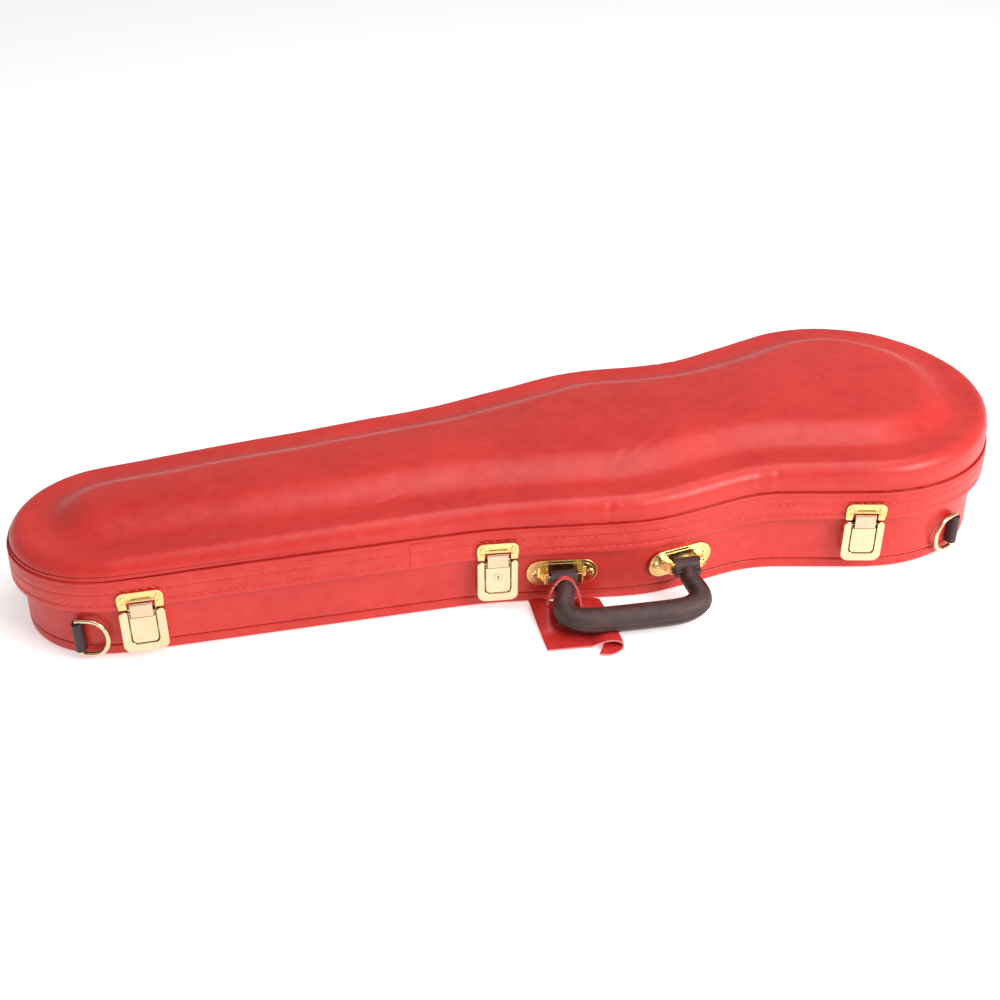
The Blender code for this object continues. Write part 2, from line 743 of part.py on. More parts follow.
# ---- strap rings --------------------------------------------------------------------------
RING_WIRE = 1.8
RING_HALF = 14.6
SLEEVE_RADIUS = 3.3
SLEEVE = (-11.0, 13.0)


def make_d_ring(index, x, z, side):
    frame = side_frame(x, -1, WALL, z) @ Matrix.Translation((0, -4.9, 0))
    upright = frame @ Matrix.Rotation(math.radians(-90), 4, "Y")
    pivot = new_pivot(f"d_ring_{index}_pivot", upright)
    wide = 9.0
    corners = [(0.0, -RING_HALF), (0.0, RING_HALF)]
    bow = [
        (wide + 12.0 * math.cos(math.radians(a)), RING_HALF * math.sin(math.radians(a)))
        for a in range(90, -91, -20)
    ]
    points = [frame @ Vector((side * a, 0, b)) for a, b in corners + bow]
    pipe(f"d_ring_{index}", points, [RING_WIRE] * len(points), "brass", pivot, closed=True)
    low, high = SLEEVE
    sleeve = prism(circle(0, 0, SLEEVE_RADIUS), low, high, "z")
    loop = new_object(f"d_ring_{index}_loop", sleeve, "dark_leather", frame, smooth=True)
    combine(loop, block((-SLEEVE_RADIUS, 0, low), (SLEEVE_RADIUS, 4.2, high)), frame, "UNION")
    combine(loop, prism(circle(0, 0, RING_WIRE + 0.25), -20, 20, "z"), frame)


def main():
    clear_scene()
    make_base()
    make_bed()
    make_chest()
    ends = hinge_line()
    along = ends[0] - ends[1]
    lid_pivot = new_pivot("lid_pivot", frame_of(along, (ends[0] + ends[1]) / 2))
    make_lid(lid_pivot)
    make_bow_fittings(lid_pivot)
    for index, centre in enumerate(ends, 1):
        make_hinge(index, centre, along, lid_pivot)
    for index, (x, width) in enumerate(LATCHES, 1):
        make_latch(index, x, width, lid_pivot, locking=index == 2)
    handle, pivot = make_handle()
    make_tag(handle, handle_frame()[1], pivot)
    for index, (x, z, side) in enumerate(D_RINGS, 1):
        make_d_ring(index, x, z, side)


main()
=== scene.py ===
"""The looks of the violin case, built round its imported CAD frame. Lengths are in millimetres."""

import json
import math

import bmesh
import bpy
import numpy as np
from mathutils import Matrix, Vector, noise


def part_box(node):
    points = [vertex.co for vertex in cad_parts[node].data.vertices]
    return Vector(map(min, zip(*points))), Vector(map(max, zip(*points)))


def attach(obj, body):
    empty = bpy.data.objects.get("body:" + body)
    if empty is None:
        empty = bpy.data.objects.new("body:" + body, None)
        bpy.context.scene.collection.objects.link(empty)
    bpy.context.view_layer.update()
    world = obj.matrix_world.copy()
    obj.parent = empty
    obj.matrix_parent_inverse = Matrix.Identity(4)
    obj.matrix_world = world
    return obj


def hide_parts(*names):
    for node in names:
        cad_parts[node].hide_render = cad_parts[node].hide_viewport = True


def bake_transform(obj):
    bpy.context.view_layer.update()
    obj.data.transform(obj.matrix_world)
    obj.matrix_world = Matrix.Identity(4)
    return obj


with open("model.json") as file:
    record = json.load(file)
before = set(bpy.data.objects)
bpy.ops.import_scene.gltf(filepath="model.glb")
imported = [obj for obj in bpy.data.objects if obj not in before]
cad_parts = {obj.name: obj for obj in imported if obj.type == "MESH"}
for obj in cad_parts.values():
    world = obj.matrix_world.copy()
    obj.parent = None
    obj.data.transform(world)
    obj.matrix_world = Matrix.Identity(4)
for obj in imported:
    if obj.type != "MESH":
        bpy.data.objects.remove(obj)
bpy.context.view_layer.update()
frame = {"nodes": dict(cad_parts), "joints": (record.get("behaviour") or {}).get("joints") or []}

MM = 0.001
JOINTS = {joint["name"]: joint for joint in frame["joints"]}

# ---- the CAD model's driving dimensions -----------------------------------------------------
# Arcs of the +Y half from the nose to the tail: centre x, centre y, radius, and +1 where the
# side bulges out or -1 where it is hollow.
CASE_ARCS = (
    (-319.0, 0.0, 73.5, 1),
    (-91.0, 381.0, 296.2, -1),
    (72.5, -12.0, 121.3, 1),
    (155.0, 180.5, 82.0, -1),
    (276.5, 16.5, 109.7, 1),
    (257.5, 0.0, 134.8, 1),
)
# Levels: height at x = 0, and rise per millimetre towards the tail.
RIM_TOP = (89.4, 0.0259)
GROOVE = (70.6, 0.0091)
PARTING = (46.8, 0.011)
FLOOR = (0.0, 0.0)
RIM_RADIUS = 11.5
WALL = -4.3
BAND_BULGE = 2.6
LEATHER = 1.3

OUTLINE_POINTS = 960
SEAM_LEVEL = 8.6


# ---- materials ------------------------------------------------------------------------------
class Shader:
    """Builds one material's nodes. Every length that it takes is in millimetres."""

    def __init__(self, name):
        self.material = bpy.data.materials.new(name)
        self.material.use_nodes = True
        self.tree = self.material.node_tree
        self.surface = self.tree.nodes["Principled BSDF"]
        coordinates = self.tree.nodes.new("ShaderNodeTexCoord")
        self.place = self.node("VectorMath", coordinates.outputs["Object"], operation="SCALE")
        self.place.node.inputs["Scale"].default_value = 1 / MM

    def node(self, kind, *inputs, output=0, **settings):
        made = self.tree.nodes.new(f"ShaderNode{kind}")
        for key, value in settings.items():
            setattr(made, key, value)
        for socket, value in zip(made.inputs, inputs):
            self.feed(socket, value)
        return made.outputs[output]

    def feed(self, socket, value):
        if isinstance(value, bpy.types.NodeSocket):
            self.tree.links.new(value, socket)
        elif value is not None:
            socket.default_value = value

    def noise(self, size, detail=3.0, roughness=0.55, stretch=(1, 1, 1), shift=0.0):
        """Noise whose features are about size across, from 0 to 1."""
        place = self.node("VectorMath", self.place, stretch, operation="MULTIPLY")
        if shift:
            place = self.node("VectorMath", place, (shift, shift, shift), operation="ADD")
        texture = self.tree.nodes.new("ShaderNodeTexNoise")
        self.feed(texture.inputs["Vector"], place)
        texture.inputs["Scale"].default_value = 1 / size
        texture.inputs["Detail"].default_value = detail
        texture.inputs["Roughness"].default_value = roughness
        return texture.outputs["Fac"]

    def cells(self, size, feature="F1", warp=0.0):
        """Distance within rounded cells about size across."""
        place = self.place
        if warp:
            wobble = self.tree.nodes.new("ShaderNodeTexNoise")
            self.feed(wobble.inputs["Vector"], self.place)
            wobble.inputs["Scale"].default_value = 1 / (1.6 * size)
            wobble.inputs["Detail"].default_value = 2.0
            shift = self.node("VectorMath", wobble.outputs["Color"], operation="SCALE")
            shift.node.inputs["Scale"].default_value = warp * size
            place = self.node("VectorMath", self.place, shift, operation="ADD")
        texture = self.tree.nodes.new("ShaderNodeTexVoronoi")
        texture.feature = feature
        self.feed(texture.inputs["Vector"], place)
        texture.inputs["Scale"].default_value = 1 / size
        return texture.outputs["Distance"]

    def ramp(self, value, low, high, out_low=0.0, out_high=1.0):
        made = self.tree.nodes.new("ShaderNodeMapRange")
        for socket, item in zip(made.inputs, (value, low, high, out_low, out_high)):
            self.feed(socket, item)
        made.clamp = True
        return made.outputs["Result"]

    def math(self, operation, first, second=None):
        return self.node("Math", first, second, operation=operation)

    def mix(self, factor, first, second):
        made = self.tree.nodes.new("ShaderNodeMix")
        made.data_type = "RGBA"
        for name, value in (("Factor_Float", factor), ("A_Color", first), ("B_Color", second)):
            self.feed(next(s for s in made.inputs if s.identifier == name), value)
        return next(s for s in made.outputs if s.identifier == "Result_Color")

    def bump(self, height, depth, below=None):
        """Bump whose full height is depth, laid over the bump below it."""
        made = self.tree.nodes.new("ShaderNodeBump")
        made.inputs["Strength"].default_value = 1.0
        made.inputs["Distance"].default_value = depth * MM
        self.feed(made.inputs["Height"], height)
        if below is not None:
            self.feed(made.inputs["Normal"], below)
        return made.outputs["Normal"]

    def finish(self, colour, roughness, normal=None, **constants):
        self.feed(self.surface.inputs["Base Color"], colour)
        self.feed(self.surface.inputs["Roughness"], roughness)
        if normal is not None:
            self.feed(self.surface.inputs["Normal"], normal)
        for name, value in constants.items():
            self.surface.inputs[name.replace("_", " ")].default_value = value
        return self.material


def rgb(red, green, blue):
    return (red, green, blue, 1.0)


def red_leather(name, light, dark, worn, scuffs=0.0):
    """Smooth calf leather: soft tonal clouds, fine pores, faint creases darkened with painted
    shade, and a few scuffs.
    """
    shader = Shader(name)
    clouds = shader.ramp(shader.noise(70, detail=4), 0.32, 0.68)
    mottle = shader.ramp(shader.noise(9, detail=3), 0.35, 0.7)
    colour = shader.mix(clouds, dark, light)
    colour = shader.mix(shader.math("MULTIPLY", mottle, 0.22), colour, worn)
    crease_edge = shader.cells(17, "DISTANCE_TO_EDGE", warp=0.9)
    where = shader.ramp(shader.noise(55, detail=2, shift=7.0), 0.5, 0.62)
    crease = shader.math("MULTIPLY", shader.ramp(crease_edge, 0.035, 0.0), where)
    # Painted shade: the colour is darkened along the crease dents.
    colour = shader.mix(shader.math("MULTIPLY", crease, 0.3), colour, dark)
    if scuffs:
        streak = shader.noise(6, detail=4, stretch=(0.25, 1, 1), shift=31.0)
        spots = shader.ramp(streak, 0.73, 0.8)
        colour = shader.mix(shader.math("MULTIPLY", spots, scuffs), colour, rgb(0.85, 0.45, 0.4))
    pores = shader.cells(1.15, warp=0.5)
    fine = shader.noise(0.45, detail=2)
    normal = shader.bump(crease, -0.07)
    normal = shader.bump(shader.noise(26, detail=3, shift=3.0), 0.55, normal)
    normal = shader.bump(pores, -0.05, normal)
    normal = shader.bump(fine, 0.028, normal)
    roughness = shader.ramp(shader.noise(14, detail=4, shift=11.0), 0.3, 0.7, 0.36, 0.47)
    return shader.finish(colour, roughness, normal, Specular_IOR_Level=0.42, Coat_Weight=0.06,
                         Coat_Roughness=0.3)


def grained_leather(name, light, dark, pebble=0.95, roughness=(0.34, 0.48)):
    """Pebbled hide: raised grains with fine valleys between them; the grain tops carry a painted
    highlight and the valleys painted shade.
    """
    shader = Shader(name)
    grain = shader.cells(pebble, "F1", warp=0.45)
    valley = shader.ramp(shader.cells(pebble, "DISTANCE_TO_EDGE", warp=0.45), 0.0, 0.16)
    clouds = shader.ramp(shader.noise(11, detail=4), 0.3, 0.72)
    colour = shader.mix(clouds, dark, light)
    # Painted highlight: each grain is lighter towards its raised middle.
    colour = shader.mix(shader.ramp(grain, 0.0, 0.45, 0.45, 0.0), colour, light)
    # Painted shade: darker in the valleys between the grains.
    colour = shader.mix(shader.ramp(valley, 0.0, 1.0, 0.4, 0.0), colour, dark)
    normal = shader.bump(shader.noise(7, detail=3), 0.3)
    normal = shader.bump(valley, 0.06, normal)
    normal = shader.bump(shader.noise(1.6, detail=3, shift=9.0), 0.22, normal)
    rough = shader.ramp(clouds, 0.0, 1.0, *roughness)
    return shader.finish(colour, rough, normal, Specular_IOR_Level=0.5)


def polished_brass(name, tint, deep, roughness):
    """Lacquered brass: near mirror, with hairline scratches and slight clouding."""
    shader = Shader(name)
    clouds = shader.ramp(shader.noise(13, detail=4), 0.35, 0.7)
    colour = shader.mix(shader.math("MULTIPLY", clouds, 0.4), tint, deep)
    hair = shader.noise(0.9, detail=2, stretch=(0.06, 1, 1))
    haze = shader.ramp(shader.noise(4, detail=5, shift=5.0), 0.3, 0.75)
    rough = shader.ramp(haze, 0.0, 1.0, roughness, roughness + 0.1)
    normal = shader.bump(hair, 0.006)
    normal = shader.bump(shader.noise(9, detail=2), 0.05, normal)
    return shader.finish(colour, rough, normal, Metallic=1.0)


def plush(name, light, dark, pile=0.9):
    """Short velvet pile with brushed lighter and darker patches, and painted shade in the dips of
    the pile.
    """
    shader = Shader(name)
    brushed = shader.ramp(shader.noise(24, detail=4, stretch=(0.5, 1, 1)), 0.35, 0.68)
    tufts = shader.noise(pile, detail=3)
    colour = shader.mix(brushed, dark, light)
    # Painted shade: darker where the tufts' bump is low.
    colour = shader.mix(shader.ramp(tufts, 0.35, 0.65, 0.45, 0.0), colour, dark)
    normal = shader.bump(tufts, 0.35)
    normal = shader.bump(shader.noise(8, detail=2), 0.5, normal)
    made = shader.finish(colour, 0.9, normal, Sheen_Weight=0.7, Sheen_Roughness=0.4,
                         Specular_IOR_Level=0.15)
    shader.surface.inputs["Sheen Tint"].default_value = light
    return made


def thread(name, light, dark):
    """Twisted sewing thread, with painted shade in the grooves of its twist."""
    shader = Shader(name)
    twist = shader.noise(0.5, detail=2, stretch=(1, 0.6, 1.6))
    # Painted shade: darker where the twist's bump is low.
    colour = shader.mix(shader.ramp(twist, 0.35, 0.65), dark, light)
    return shader.finish(colour, 0.62, shader.bump(twist, 0.12), Specular_IOR_Level=0.3)


def raw_edge(name, light, dark):
    """The cut edge of leather: pale, fibrous and dull."""
    shader = Shader(name)
    fibre = shader.noise(0.6, detail=4)
    colour = shader.mix(shader.ramp(fibre, 0.3, 0.7), dark, light)
    return shader.finish(colour, 0.8, shader.bump(fibre, 0.1), Specular_IOR_Level=0.25)


def plywood(name, light, dark):
    """Thin plies, seen as stripes on an edge, with a fine grain."""
    shader = Shader(name)
    grain = shader.noise(2.2, detail=5, stretch=(0.05, 1, 1))
    colour = shader.mix(shader.ramp(grain, 0.35, 0.65), dark, light)
    return shader.finish(colour, 0.6, shader.bump(grain, 0.06), Specular_IOR_Level=0.3)


LEATHER_RED = red_leather("lid_leather", rgb(0.61, 0.025, 0.017), rgb(0.49, 0.016, 0.011),
                          rgb(0.72, 0.06, 0.05), scuffs=0.5)
SIDE_RED = red_leather("side_leather_red", rgb(0.61, 0.028, 0.019), rgb(0.52, 0.019, 0.012),
                       rgb(0.78, 0.07, 0.055), scuffs=0.2)
TAG_RED = red_leather("tag_leather", rgb(0.56, 0.022, 0.02), rgb(0.44, 0.014, 0.013),
                      rgb(0.66, 0.06, 0.05), scuffs=0.3)
CUT_EDGE = raw_edge("leather_cut_edge", rgb(0.82, 0.3, 0.27), rgb(0.62, 0.12, 0.1))
THREAD_LIGHT = thread("red_thread", rgb(0.86, 0.12, 0.1), rgb(0.66, 0.04, 0.035))
THREAD_DARK = thread("dark_red_thread", rgb(0.32, 0.012, 0.012), rgb(0.2, 0.008, 0.008))
THREAD_BROWN = thread("brown_thread", rgb(0.1, 0.05, 0.04), rgb(0.03, 0.015, 0.012))
DARK_LEATHER = grained_leather("handle_leather", rgb(0.078, 0.032, 0.027), rgb(0.024, 0.009, 0.008))
LOOP_LEATHER = grained_leather("loop_leather", rgb(0.07, 0.024, 0.024), rgb(0.02, 0.006, 0.007),
                               pebble=0.8)
TRIM_LEATHER = grained_leather("trim_leather", rgb(0.12, 0.06, 0.035), rgb(0.04, 0.02, 0.012),
                               pebble=0.9)
BRASS = polished_brass("polished_brass", rgb(0.8, 0.64, 0.42), rgb(0.68, 0.49, 0.26), 0.16)
BRASS_YELLOW = polished_brass("yellow_brass", rgb(0.9, 0.66, 0.28), rgb(0.78, 0.5, 0.17), 0.2)
BRASS_WARM = polished_brass("warm_brass", rgb(0.74, 0.55, 0.38), rgb(0.64, 0.42, 0.26), 0.24)
BRASS_DEEP = polished_brass("brass_in_shade", rgb(0.8, 0.56, 0.24), rgb(0.6, 0.36, 0.12), 0.24)
BED_PLUSH = plush("bed_plush", rgb(0.52, 0.37, 0.2), rgb(0.33, 0.21, 0.1))
LINING_PLUSH = plush("lining_plush", rgb(0.55, 0.4, 0.23), rgb(0.36, 0.24, 0.12), pile=0.8)
PLY = plywood("shell_plywood", rgb(0.62, 0.44, 0.25), rgb(0.42, 0.27, 0.13))


# ---- the outline ----------------------------------------------------------------------------
def half_outline(arcs):
    """Finely spaced points of the +Y half, from the nose to the tail."""
    points = []
    angle = math.pi
    for index, (x, y, radius, bulge) in enumerate(arcs):
        turn = shared_normal(arcs[index], arcs[index + 1]) if index + 1 < len(arcs) else 0.0
        sweep = (turn - angle + math.pi) % (2 * math.pi) - math.pi
        for a in np.linspace(angle, angle + sweep, 60):
            points.append((x + bulge * radius * math.cos(a), y + bulge * radius * math.sin(a)))
        angle += sweep
    return np.array(points)


def shared_normal(first, second):
    """Angle of the outward normal along the straight line that joins two arcs."""
    along = math.atan2(second[1] - first[1], second[0] - first[0])
    apart = math.hypot(second[0] - first[0], second[1] - first[1])
    lean = (first[3] * first[2] - second[3] * second[2]) / apart
    return along + math.acos(max(-1.0, min(1.0, lean)))


def lengths_along(points):
    """Distance of each point from the first, measured along the line."""
    steps = np.linalg.norm(np.diff(points, axis=0), axis=1)
    return np.concatenate([[0.0], np.cumsum(steps)])


def resample(points, targets):
    """The points' columns interpolated at the given distances along the line."""
    along = lengths_along(points[:, :3])
    return np.stack([np.interp(targets, along, column) for column in points.T], axis=1)


def outline(arcs, count, passes=60):
    """Evenly spaced points and outward normals of the whole outline, softened a little."""
    half = half_outline(arcs)
    half = resample(half, np.linspace(0, lengths_along(half)[-1], count // 2 + 1))
    half[[0, -1], 1] = 0.0
    points = np.concatenate([half, half[-2:0:-1] * (1, -1)])
    for _ in range(passes):
        points = (np.roll(points, 1, 0) + 2 * points + np.roll(points, -1, 0)) / 4
    tangent = np.roll(points, -1, 0) - np.roll(points, 1, 0)
    tangent /= np.linalg.norm(tangent, axis=1)[:, None]
    return points, np.stack([-tangent[:, 1], tangent[:, 0]], axis=1)


POINTS, NORMALS = outline(CASE_ARCS, OUTLINE_POINTS)


def level(height, x, lift=0.0):
    """Height of one of the case's sloping levels at x."""
    return height[0] + height[1] * x + lift


def ring(offset, height, lift=0.0):
    """The outline moved outward, at a level, as an array of x, y, z."""
    flat = POINTS + NORMALS * offset
    return np.column_stack([flat, level(height, flat[:, 0], lift)])


def smooth_line(points, per_span=6):
    """A smooth line through the points, whatever their number of columns."""
    points = np.array(points, float)
    padded = np.concatenate([[2 * points[0] - points[1]], points, [2 * points[-1] - points[-2]]])
    steps = np.linspace(0, 1, per_span, endpoint=False)[:, None]
    spans = []
    for a, b, c, d in zip(padded, padded[1:], padded[2:], padded[3:]):
        spans.append(
            0.5 * (2 * b + (c - a) * steps + (2 * a - 5 * b + 4 * c - d) * steps**2
                   + (3 * b - a - 3 * c + d) * steps**3)
        )
    return np.concatenate(spans + [points[-1:]])


def rings_of(profile, per_span=4):
    """Rings for a profile of (offset, level, lift) entries, with a smooth line between them."""
    table = [(offset, height[0] + lift, height[1]) for offset, height, lift in profile]
    return [ring(offset, (base, rise)) for offset, base, rise in smooth_line(table, per_span)]


# ---- making pieces --------------------------------------------------------------------------
def piece_from(name, points, faces, materials, body, replaces=()):
    """A smooth mesh piece from points in millimetres."""
    mesh = bpy.data.meshes.new(name)
    mesh.from_pydata((np.asarray(points, float) * MM).tolist(), [], faces)
    mesh.update()
    obj = bpy.data.objects.new(name, mesh)
    bpy.context.scene.collection.objects.link(obj)
    for material in materials if isinstance(materials, (list, tuple)) else [materials]:
        mesh.materials.append(material)
    mesh.shade_smooth()
    return dress(obj, body, replaces)


def dress(obj, body, replaces=()):
    """Says which body a piece rides on and the CAD nodes it stands for."""
    if body:
        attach(obj, body)
    if replaces:
        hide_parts(*replaces)
    return obj


def grid_faces(rows, columns, wrap=True):
    """Quads that join rows of points, closing each row on itself if wrap is set."""
    faces = []
    for r in range(rows - 1):
        for c in range(columns if wrap else columns - 1):
            d = (c + 1) % columns
            faces.append(
                (r * columns + c, r * columns + d, (r + 1) * columns + d, (r + 1) * columns + c)
            )
    return faces


def skin(name, rings, materials, body, replaces=()):
    """A piece that joins closed rings of equal length."""
    faces = grid_faces(len(rings), len(rings[0]))
    return piece_from(name, np.concatenate(rings), faces, materials, body, replaces)


def tidy_mesh(obj, merge=0.01):
    """Merges doubled points and turns every face outward."""
    bm = bmesh.new()
    bm.from_mesh(obj.data)
    bmesh.ops.remove_doubles(bm, verts=bm.verts, dist=merge * MM)
    bmesh.ops.recalc_face_normals(bm, faces=bm.faces)
    bm.to_mesh(obj.data)
    bm.free()


def evaluated(obj):
    """The object's mesh after its modifiers."""
    bpy.context.view_layer.update()
    graph = bpy.context.evaluated_depsgraph_get()
    return bpy.data.meshes.new_from_object(obj.evaluated_get(graph))


def apply_modifiers(obj):
    data = evaluated(obj)
    obj.modifiers.clear()
    obj.data = data


def undulate(obj, layers, hold=None):
    """Moves the surface in and out by smooth noise: layers of (size, depth, seed)."""
    mesh = obj.data
    normals = [vertex.normal.copy() for vertex in mesh.vertices]
    for vertex, normal in zip(mesh.vertices, normals):
        place = vertex.co / MM
        share = 1.0 if hold is None else hold(place)
        if share:
            move = sum(
                depth * noise.noise(place / size + Vector((seed, seed, seed)))
                for size, depth, seed in layers
            )
            vertex.co += normal * move * share * MM


def frame_of(along, origin):
    """A frame whose +X is along and whose +Z is as near up as that allows."""
    x_axis = Vector(along).normalized()
    y_axis = Vector((0, 0, 1)).cross(x_axis).normalized()
    turn = Matrix((x_axis, y_axis, x_axis.cross(y_axis))).transposed().to_4x4()
    return Matrix.Translation(origin) @ turn


def joint_frame(name, sign=1):
    """A frame on a joint, with +X along its axis, or against it where sign is -1."""
    joint = JOINTS[name]
    return frame_of(sign * Vector(joint["axis"]), Vector(joint["pos_m"]) / MM)


def wall_frame(node):
    """A frame on the case's outline, level with the middle of a node: -Y points outward."""
    low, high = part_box(node)
    middle = (low + high) / 2 / MM
    nearest = int(np.argmin(np.linalg.norm(POINTS - (middle.x, middle.y), axis=1)))
    outward = Vector((*NORMALS[nearest], 0.0))
    return frame_of((-outward.y, outward.x, 0), Vector((*POINTS[nearest], middle.z)))


def local_box(node, local):
    """Lowest and highest corner of a CAD node in a local frame, in millimetres."""
    inverse = local.inverted()
    points = [inverse @ (vertex.co / MM) for vertex in frame["nodes"][node].data.vertices]
    low = Vector([min(p[i] for p in points) for i in range(3)])
    high = Vector([max(p[i] for p in points) for i in range(3)])
    return low, high


# ---- solid shapes, in a fitting's own frame ---------------------------------------------------
def rounded(x0, x1, z0, z1, radii, steps=6):
    """A rectangle's outline with round corners: bottom left, bottom right, top right, top left."""
    corners = ((x0, z0, 1, 1, 180), (x1, z0, -1, 1, 270), (x1, z1, -1, -1, 0), (x0, z1, 1, -1, 90))
    points = []
    for (x, z, inward_x, inward_z, start), radius in zip(corners, radii):
        for i in range(steps + 1 if radius else 1):
            a = math.radians(start + 90 * i / steps)
            points.append((x + radius * (inward_x + math.cos(a) * bool(radius)),
                           z + radius * (inward_z + math.sin(a) * bool(radius))))
    return points


def circle(x, z, radius, sides=32):
    angles = [2 * math.pi / sides * i for i in range(sides)]
    return [(x + radius * math.cos(a), z + radius * math.sin(a)) for a in angles]


AXES = {
    "x": lambda a, b, t: (t, a, b),
    "y": lambda a, b, t: (a, t, b),
    "z": lambda a, b, t: (a, b, t),
}


def prism(flat, low, high, along="y"):
    """The flat outline extruded along one local axis."""
    bm = bmesh.new()
    face = bm.faces.new([bm.verts.new(AXES[along](a, b, low)) for a, b in flat])
    grown = bmesh.ops.extrude_face_region(bm, geom=[face])
    moved = [v for v in grown["geom"] if isinstance(v, bmesh.types.BMVert)]
    bmesh.ops.translate(bm, vec=AXES[along](0, 0, high - low), verts=moved)
    return bm


def block(low, high):
    bm = bmesh.new()
    bmesh.ops.create_cube(bm, size=1)
    bmesh.ops.scale(bm, vec=Vector(high) - Vector(low), verts=bm.verts)
    bmesh.ops.translate(bm, vec=(Vector(high) + Vector(low)) / 2, verts=bm.verts)
    return bm


def turned(profile, along="y", centre=(0.0, 0.0), sides=32):
    """A turned shape: (distance along the axis, radius) entries about a local axis."""
    bm = bmesh.new()
    rings = []
    for step, radius in profile:
        flat = circle(*centre, radius, sides)
        rings.append([bm.verts.new(AXES[along](a, b, step)) for a, b in flat])
    for low, high in zip(rings, rings[1:]):
        for i in range(sides):
            j = (i + 1) % sides
            bm.faces.new((low[i], low[j], high[j], high[i]))
    bm.faces.new(rings[0])
    bm.faces.new(rings[-1])
    return bm


def scratch(bm):
    """A hidden working object for one shape. Its units are millimetres."""
    bmesh.ops.recalc_face_normals(bm, faces=bm.faces)
    mesh = bpy.data.meshes.new("working")
    bm.to_mesh(mesh)
    bm.free()
    obj = bpy.data.objects.new("working", mesh)
    bpy.context.scene.collection.objects.link(obj)
    return obj


def shaped(bm, cuts=(), bevel=0.0, segments=3, angle=30):
    """The shape after its cuts and its rounded edges, as mesh data in millimetres."""
    obj = scratch(bm)
    cutters = [scratch(cut) for cut in cuts]
    for cutter in cutters:
        modifier = obj.modifiers.new("cut", "BOOLEAN")
        modifier.object = cutter
        modifier.operation = "DIFFERENCE"
    if bevel:
        modifier = obj.modifiers.new("edges", "BEVEL")
        modifier.width = bevel
        modifier.segments = segments
        modifier.limit_method = "ANGLE"
        modifier.angle_limit = math.radians(angle)
        modifier.miter_outer = "MITER_ARC"
    data = evaluated(obj)
    for helper in [obj, *cutters]:
        bpy.data.objects.remove(helper)
    return data


def assemble(name, shapes, local, material, body, replaces=(), angle=32):
    """One piece out of several shapes given in a fitting's frame. A shape may be a pair with
    the index of its own material."""
    bm = bmesh.new()
    for shape in shapes:
        data, index = shape if isinstance(shape, tuple) else (shape, 0)
        first = len(bm.faces)
        bm.from_mesh(data)
        bm.faces.ensure_lookup_table()
        for face in bm.faces[first:]:
            face.material_index = index
    bmesh.ops.transform(bm, matrix=Matrix.Scale(MM, 4) @ local, verts=bm.verts)
    mesh = bpy.data.meshes.new(name)
    bm.to_mesh(mesh)
    bm.free()
    mesh.materials.clear()
    for item in material if isinstance(material, (list, tuple)) else [material]:
        mesh.materials.append(item)
    mesh.shade_smooth()
    mesh.set_sharp_from_angle(angle=math.radians(angle))
    obj = bpy.data.objects.new(name, mesh)
    bpy.context.scene.collection.objects.link(obj)
    weighted = obj.modifiers.new("weighted", "WEIGHTED_NORMAL")
    weighted.keep_sharp = True
    return dress(obj, body, replaces)


def tube(path, radii, binormal, sides, section):
    """Points and faces of a closed tube along a planar path, with its own cross-section."""
    tangent = np.gradient(path, axis=0)
    tangent /= np.linalg.norm(tangent, axis=1)[:, None]
    side = np.cross(tangent, binormal)
    side /= np.linalg.norm(side, axis=1)[:, None]
    angles = np.linspace(0, 2 * math.pi, sides, endpoint=False)
    rows = []
    for i, (point, radius) in enumerate(zip(path, radii)):
        reach = section(i / (len(path) - 1), angles)
        rows.append(
            point
            + radius * (reach * np.cos(angles))[:, None] * side[i]
            + radius * (reach * np.sin(angles))[:, None] * binormal
        )
    faces = grid_faces(len(rows), sides)
    last = (len(rows) - 1) * sides
    faces.append(tuple(range(sides - 1, -1, -1)))
    faces.append(tuple(range(last, last + sides)))
    return np.concatenate(rows), faces


# ---- stitches -------------------------------------------------------------------------------
STITCH_SHAPE = ((-0.5, -0.5, 0.4), (-0.36, 0.1, 0.85), (-0.12, 0.32, 1.0), (0.12, 0.32, 1.0),
                (0.36, 0.1, 0.85), (0.5, -0.5, 0.4))


def stitch_row(name, line, outward, body, material, pitch=6.0, share=0.74, thickness=0.75,
               closed=True, slant=0.05):
    """Raised stitches along a line on the leather, each dipping into its holes at both ends."""
    if closed:
        line = np.concatenate([line, line[:1]])
        outward = np.concatenate([outward, outward[:1]])
    along = lengths_along(line)
    table = np.column_stack([line, outward])
    count = int(along[-1] / pitch)
    sides = 6
    angles = np.linspace(0, 2 * math.pi, sides, endpoint=False)
    points, faces = [], []
    for index in range(count):
        middle = (index + 0.5) * along[-1] / count
        reach = pitch * share
        at = middle + np.array([entry[0] for entry in STITCH_SHAPE]) * reach
        rows = resample(table, at)
        tangent = rows[-1, :3] - rows[0, :3]
        tangent /= np.linalg.norm(tangent)
        start = len(points) * sides
        for row, (step, lift, width) in zip(rows, STITCH_SHAPE):
            up = row[3:] / np.linalg.norm(row[3:])
            side = np.cross(tangent, up)
            centre = row[:3] + up * lift * thickness + side * step * reach * slant
            spread = thickness / 2 * width
            points.append(
                centre
                + spread * np.cos(angles)[:, None] * up
                + spread * 1.15 * np.sin(angles)[:, None] * side
            )
        for r in range(len(STITCH_SHAPE) - 1):
            for c in range(sides):
                d = (c + 1) % sides
                low, high = start + r * sides, start + (r + 1) * sides
                faces.append((low + c, low + d, high + d, high + c))
    return piece_from(name, np.concatenate(points), faces, material, body)


def outward_of(line):
    """Outward directions for a ring of the outline, as x, y, z."""
    return np.column_stack([NORMALS, np.zeros(len(line))])


# ---- lid ------------------------------------------------------------------------------------
BORDER = 27.0
DOME_EDGE = 64.0
DOME_RISE = 12.0
CROWN = 2.2
STITCH_DIP = 0.35
SEAM_LAP = 0.45
UPPER_ROW = -9.0
LOWER_ROW = 5.4


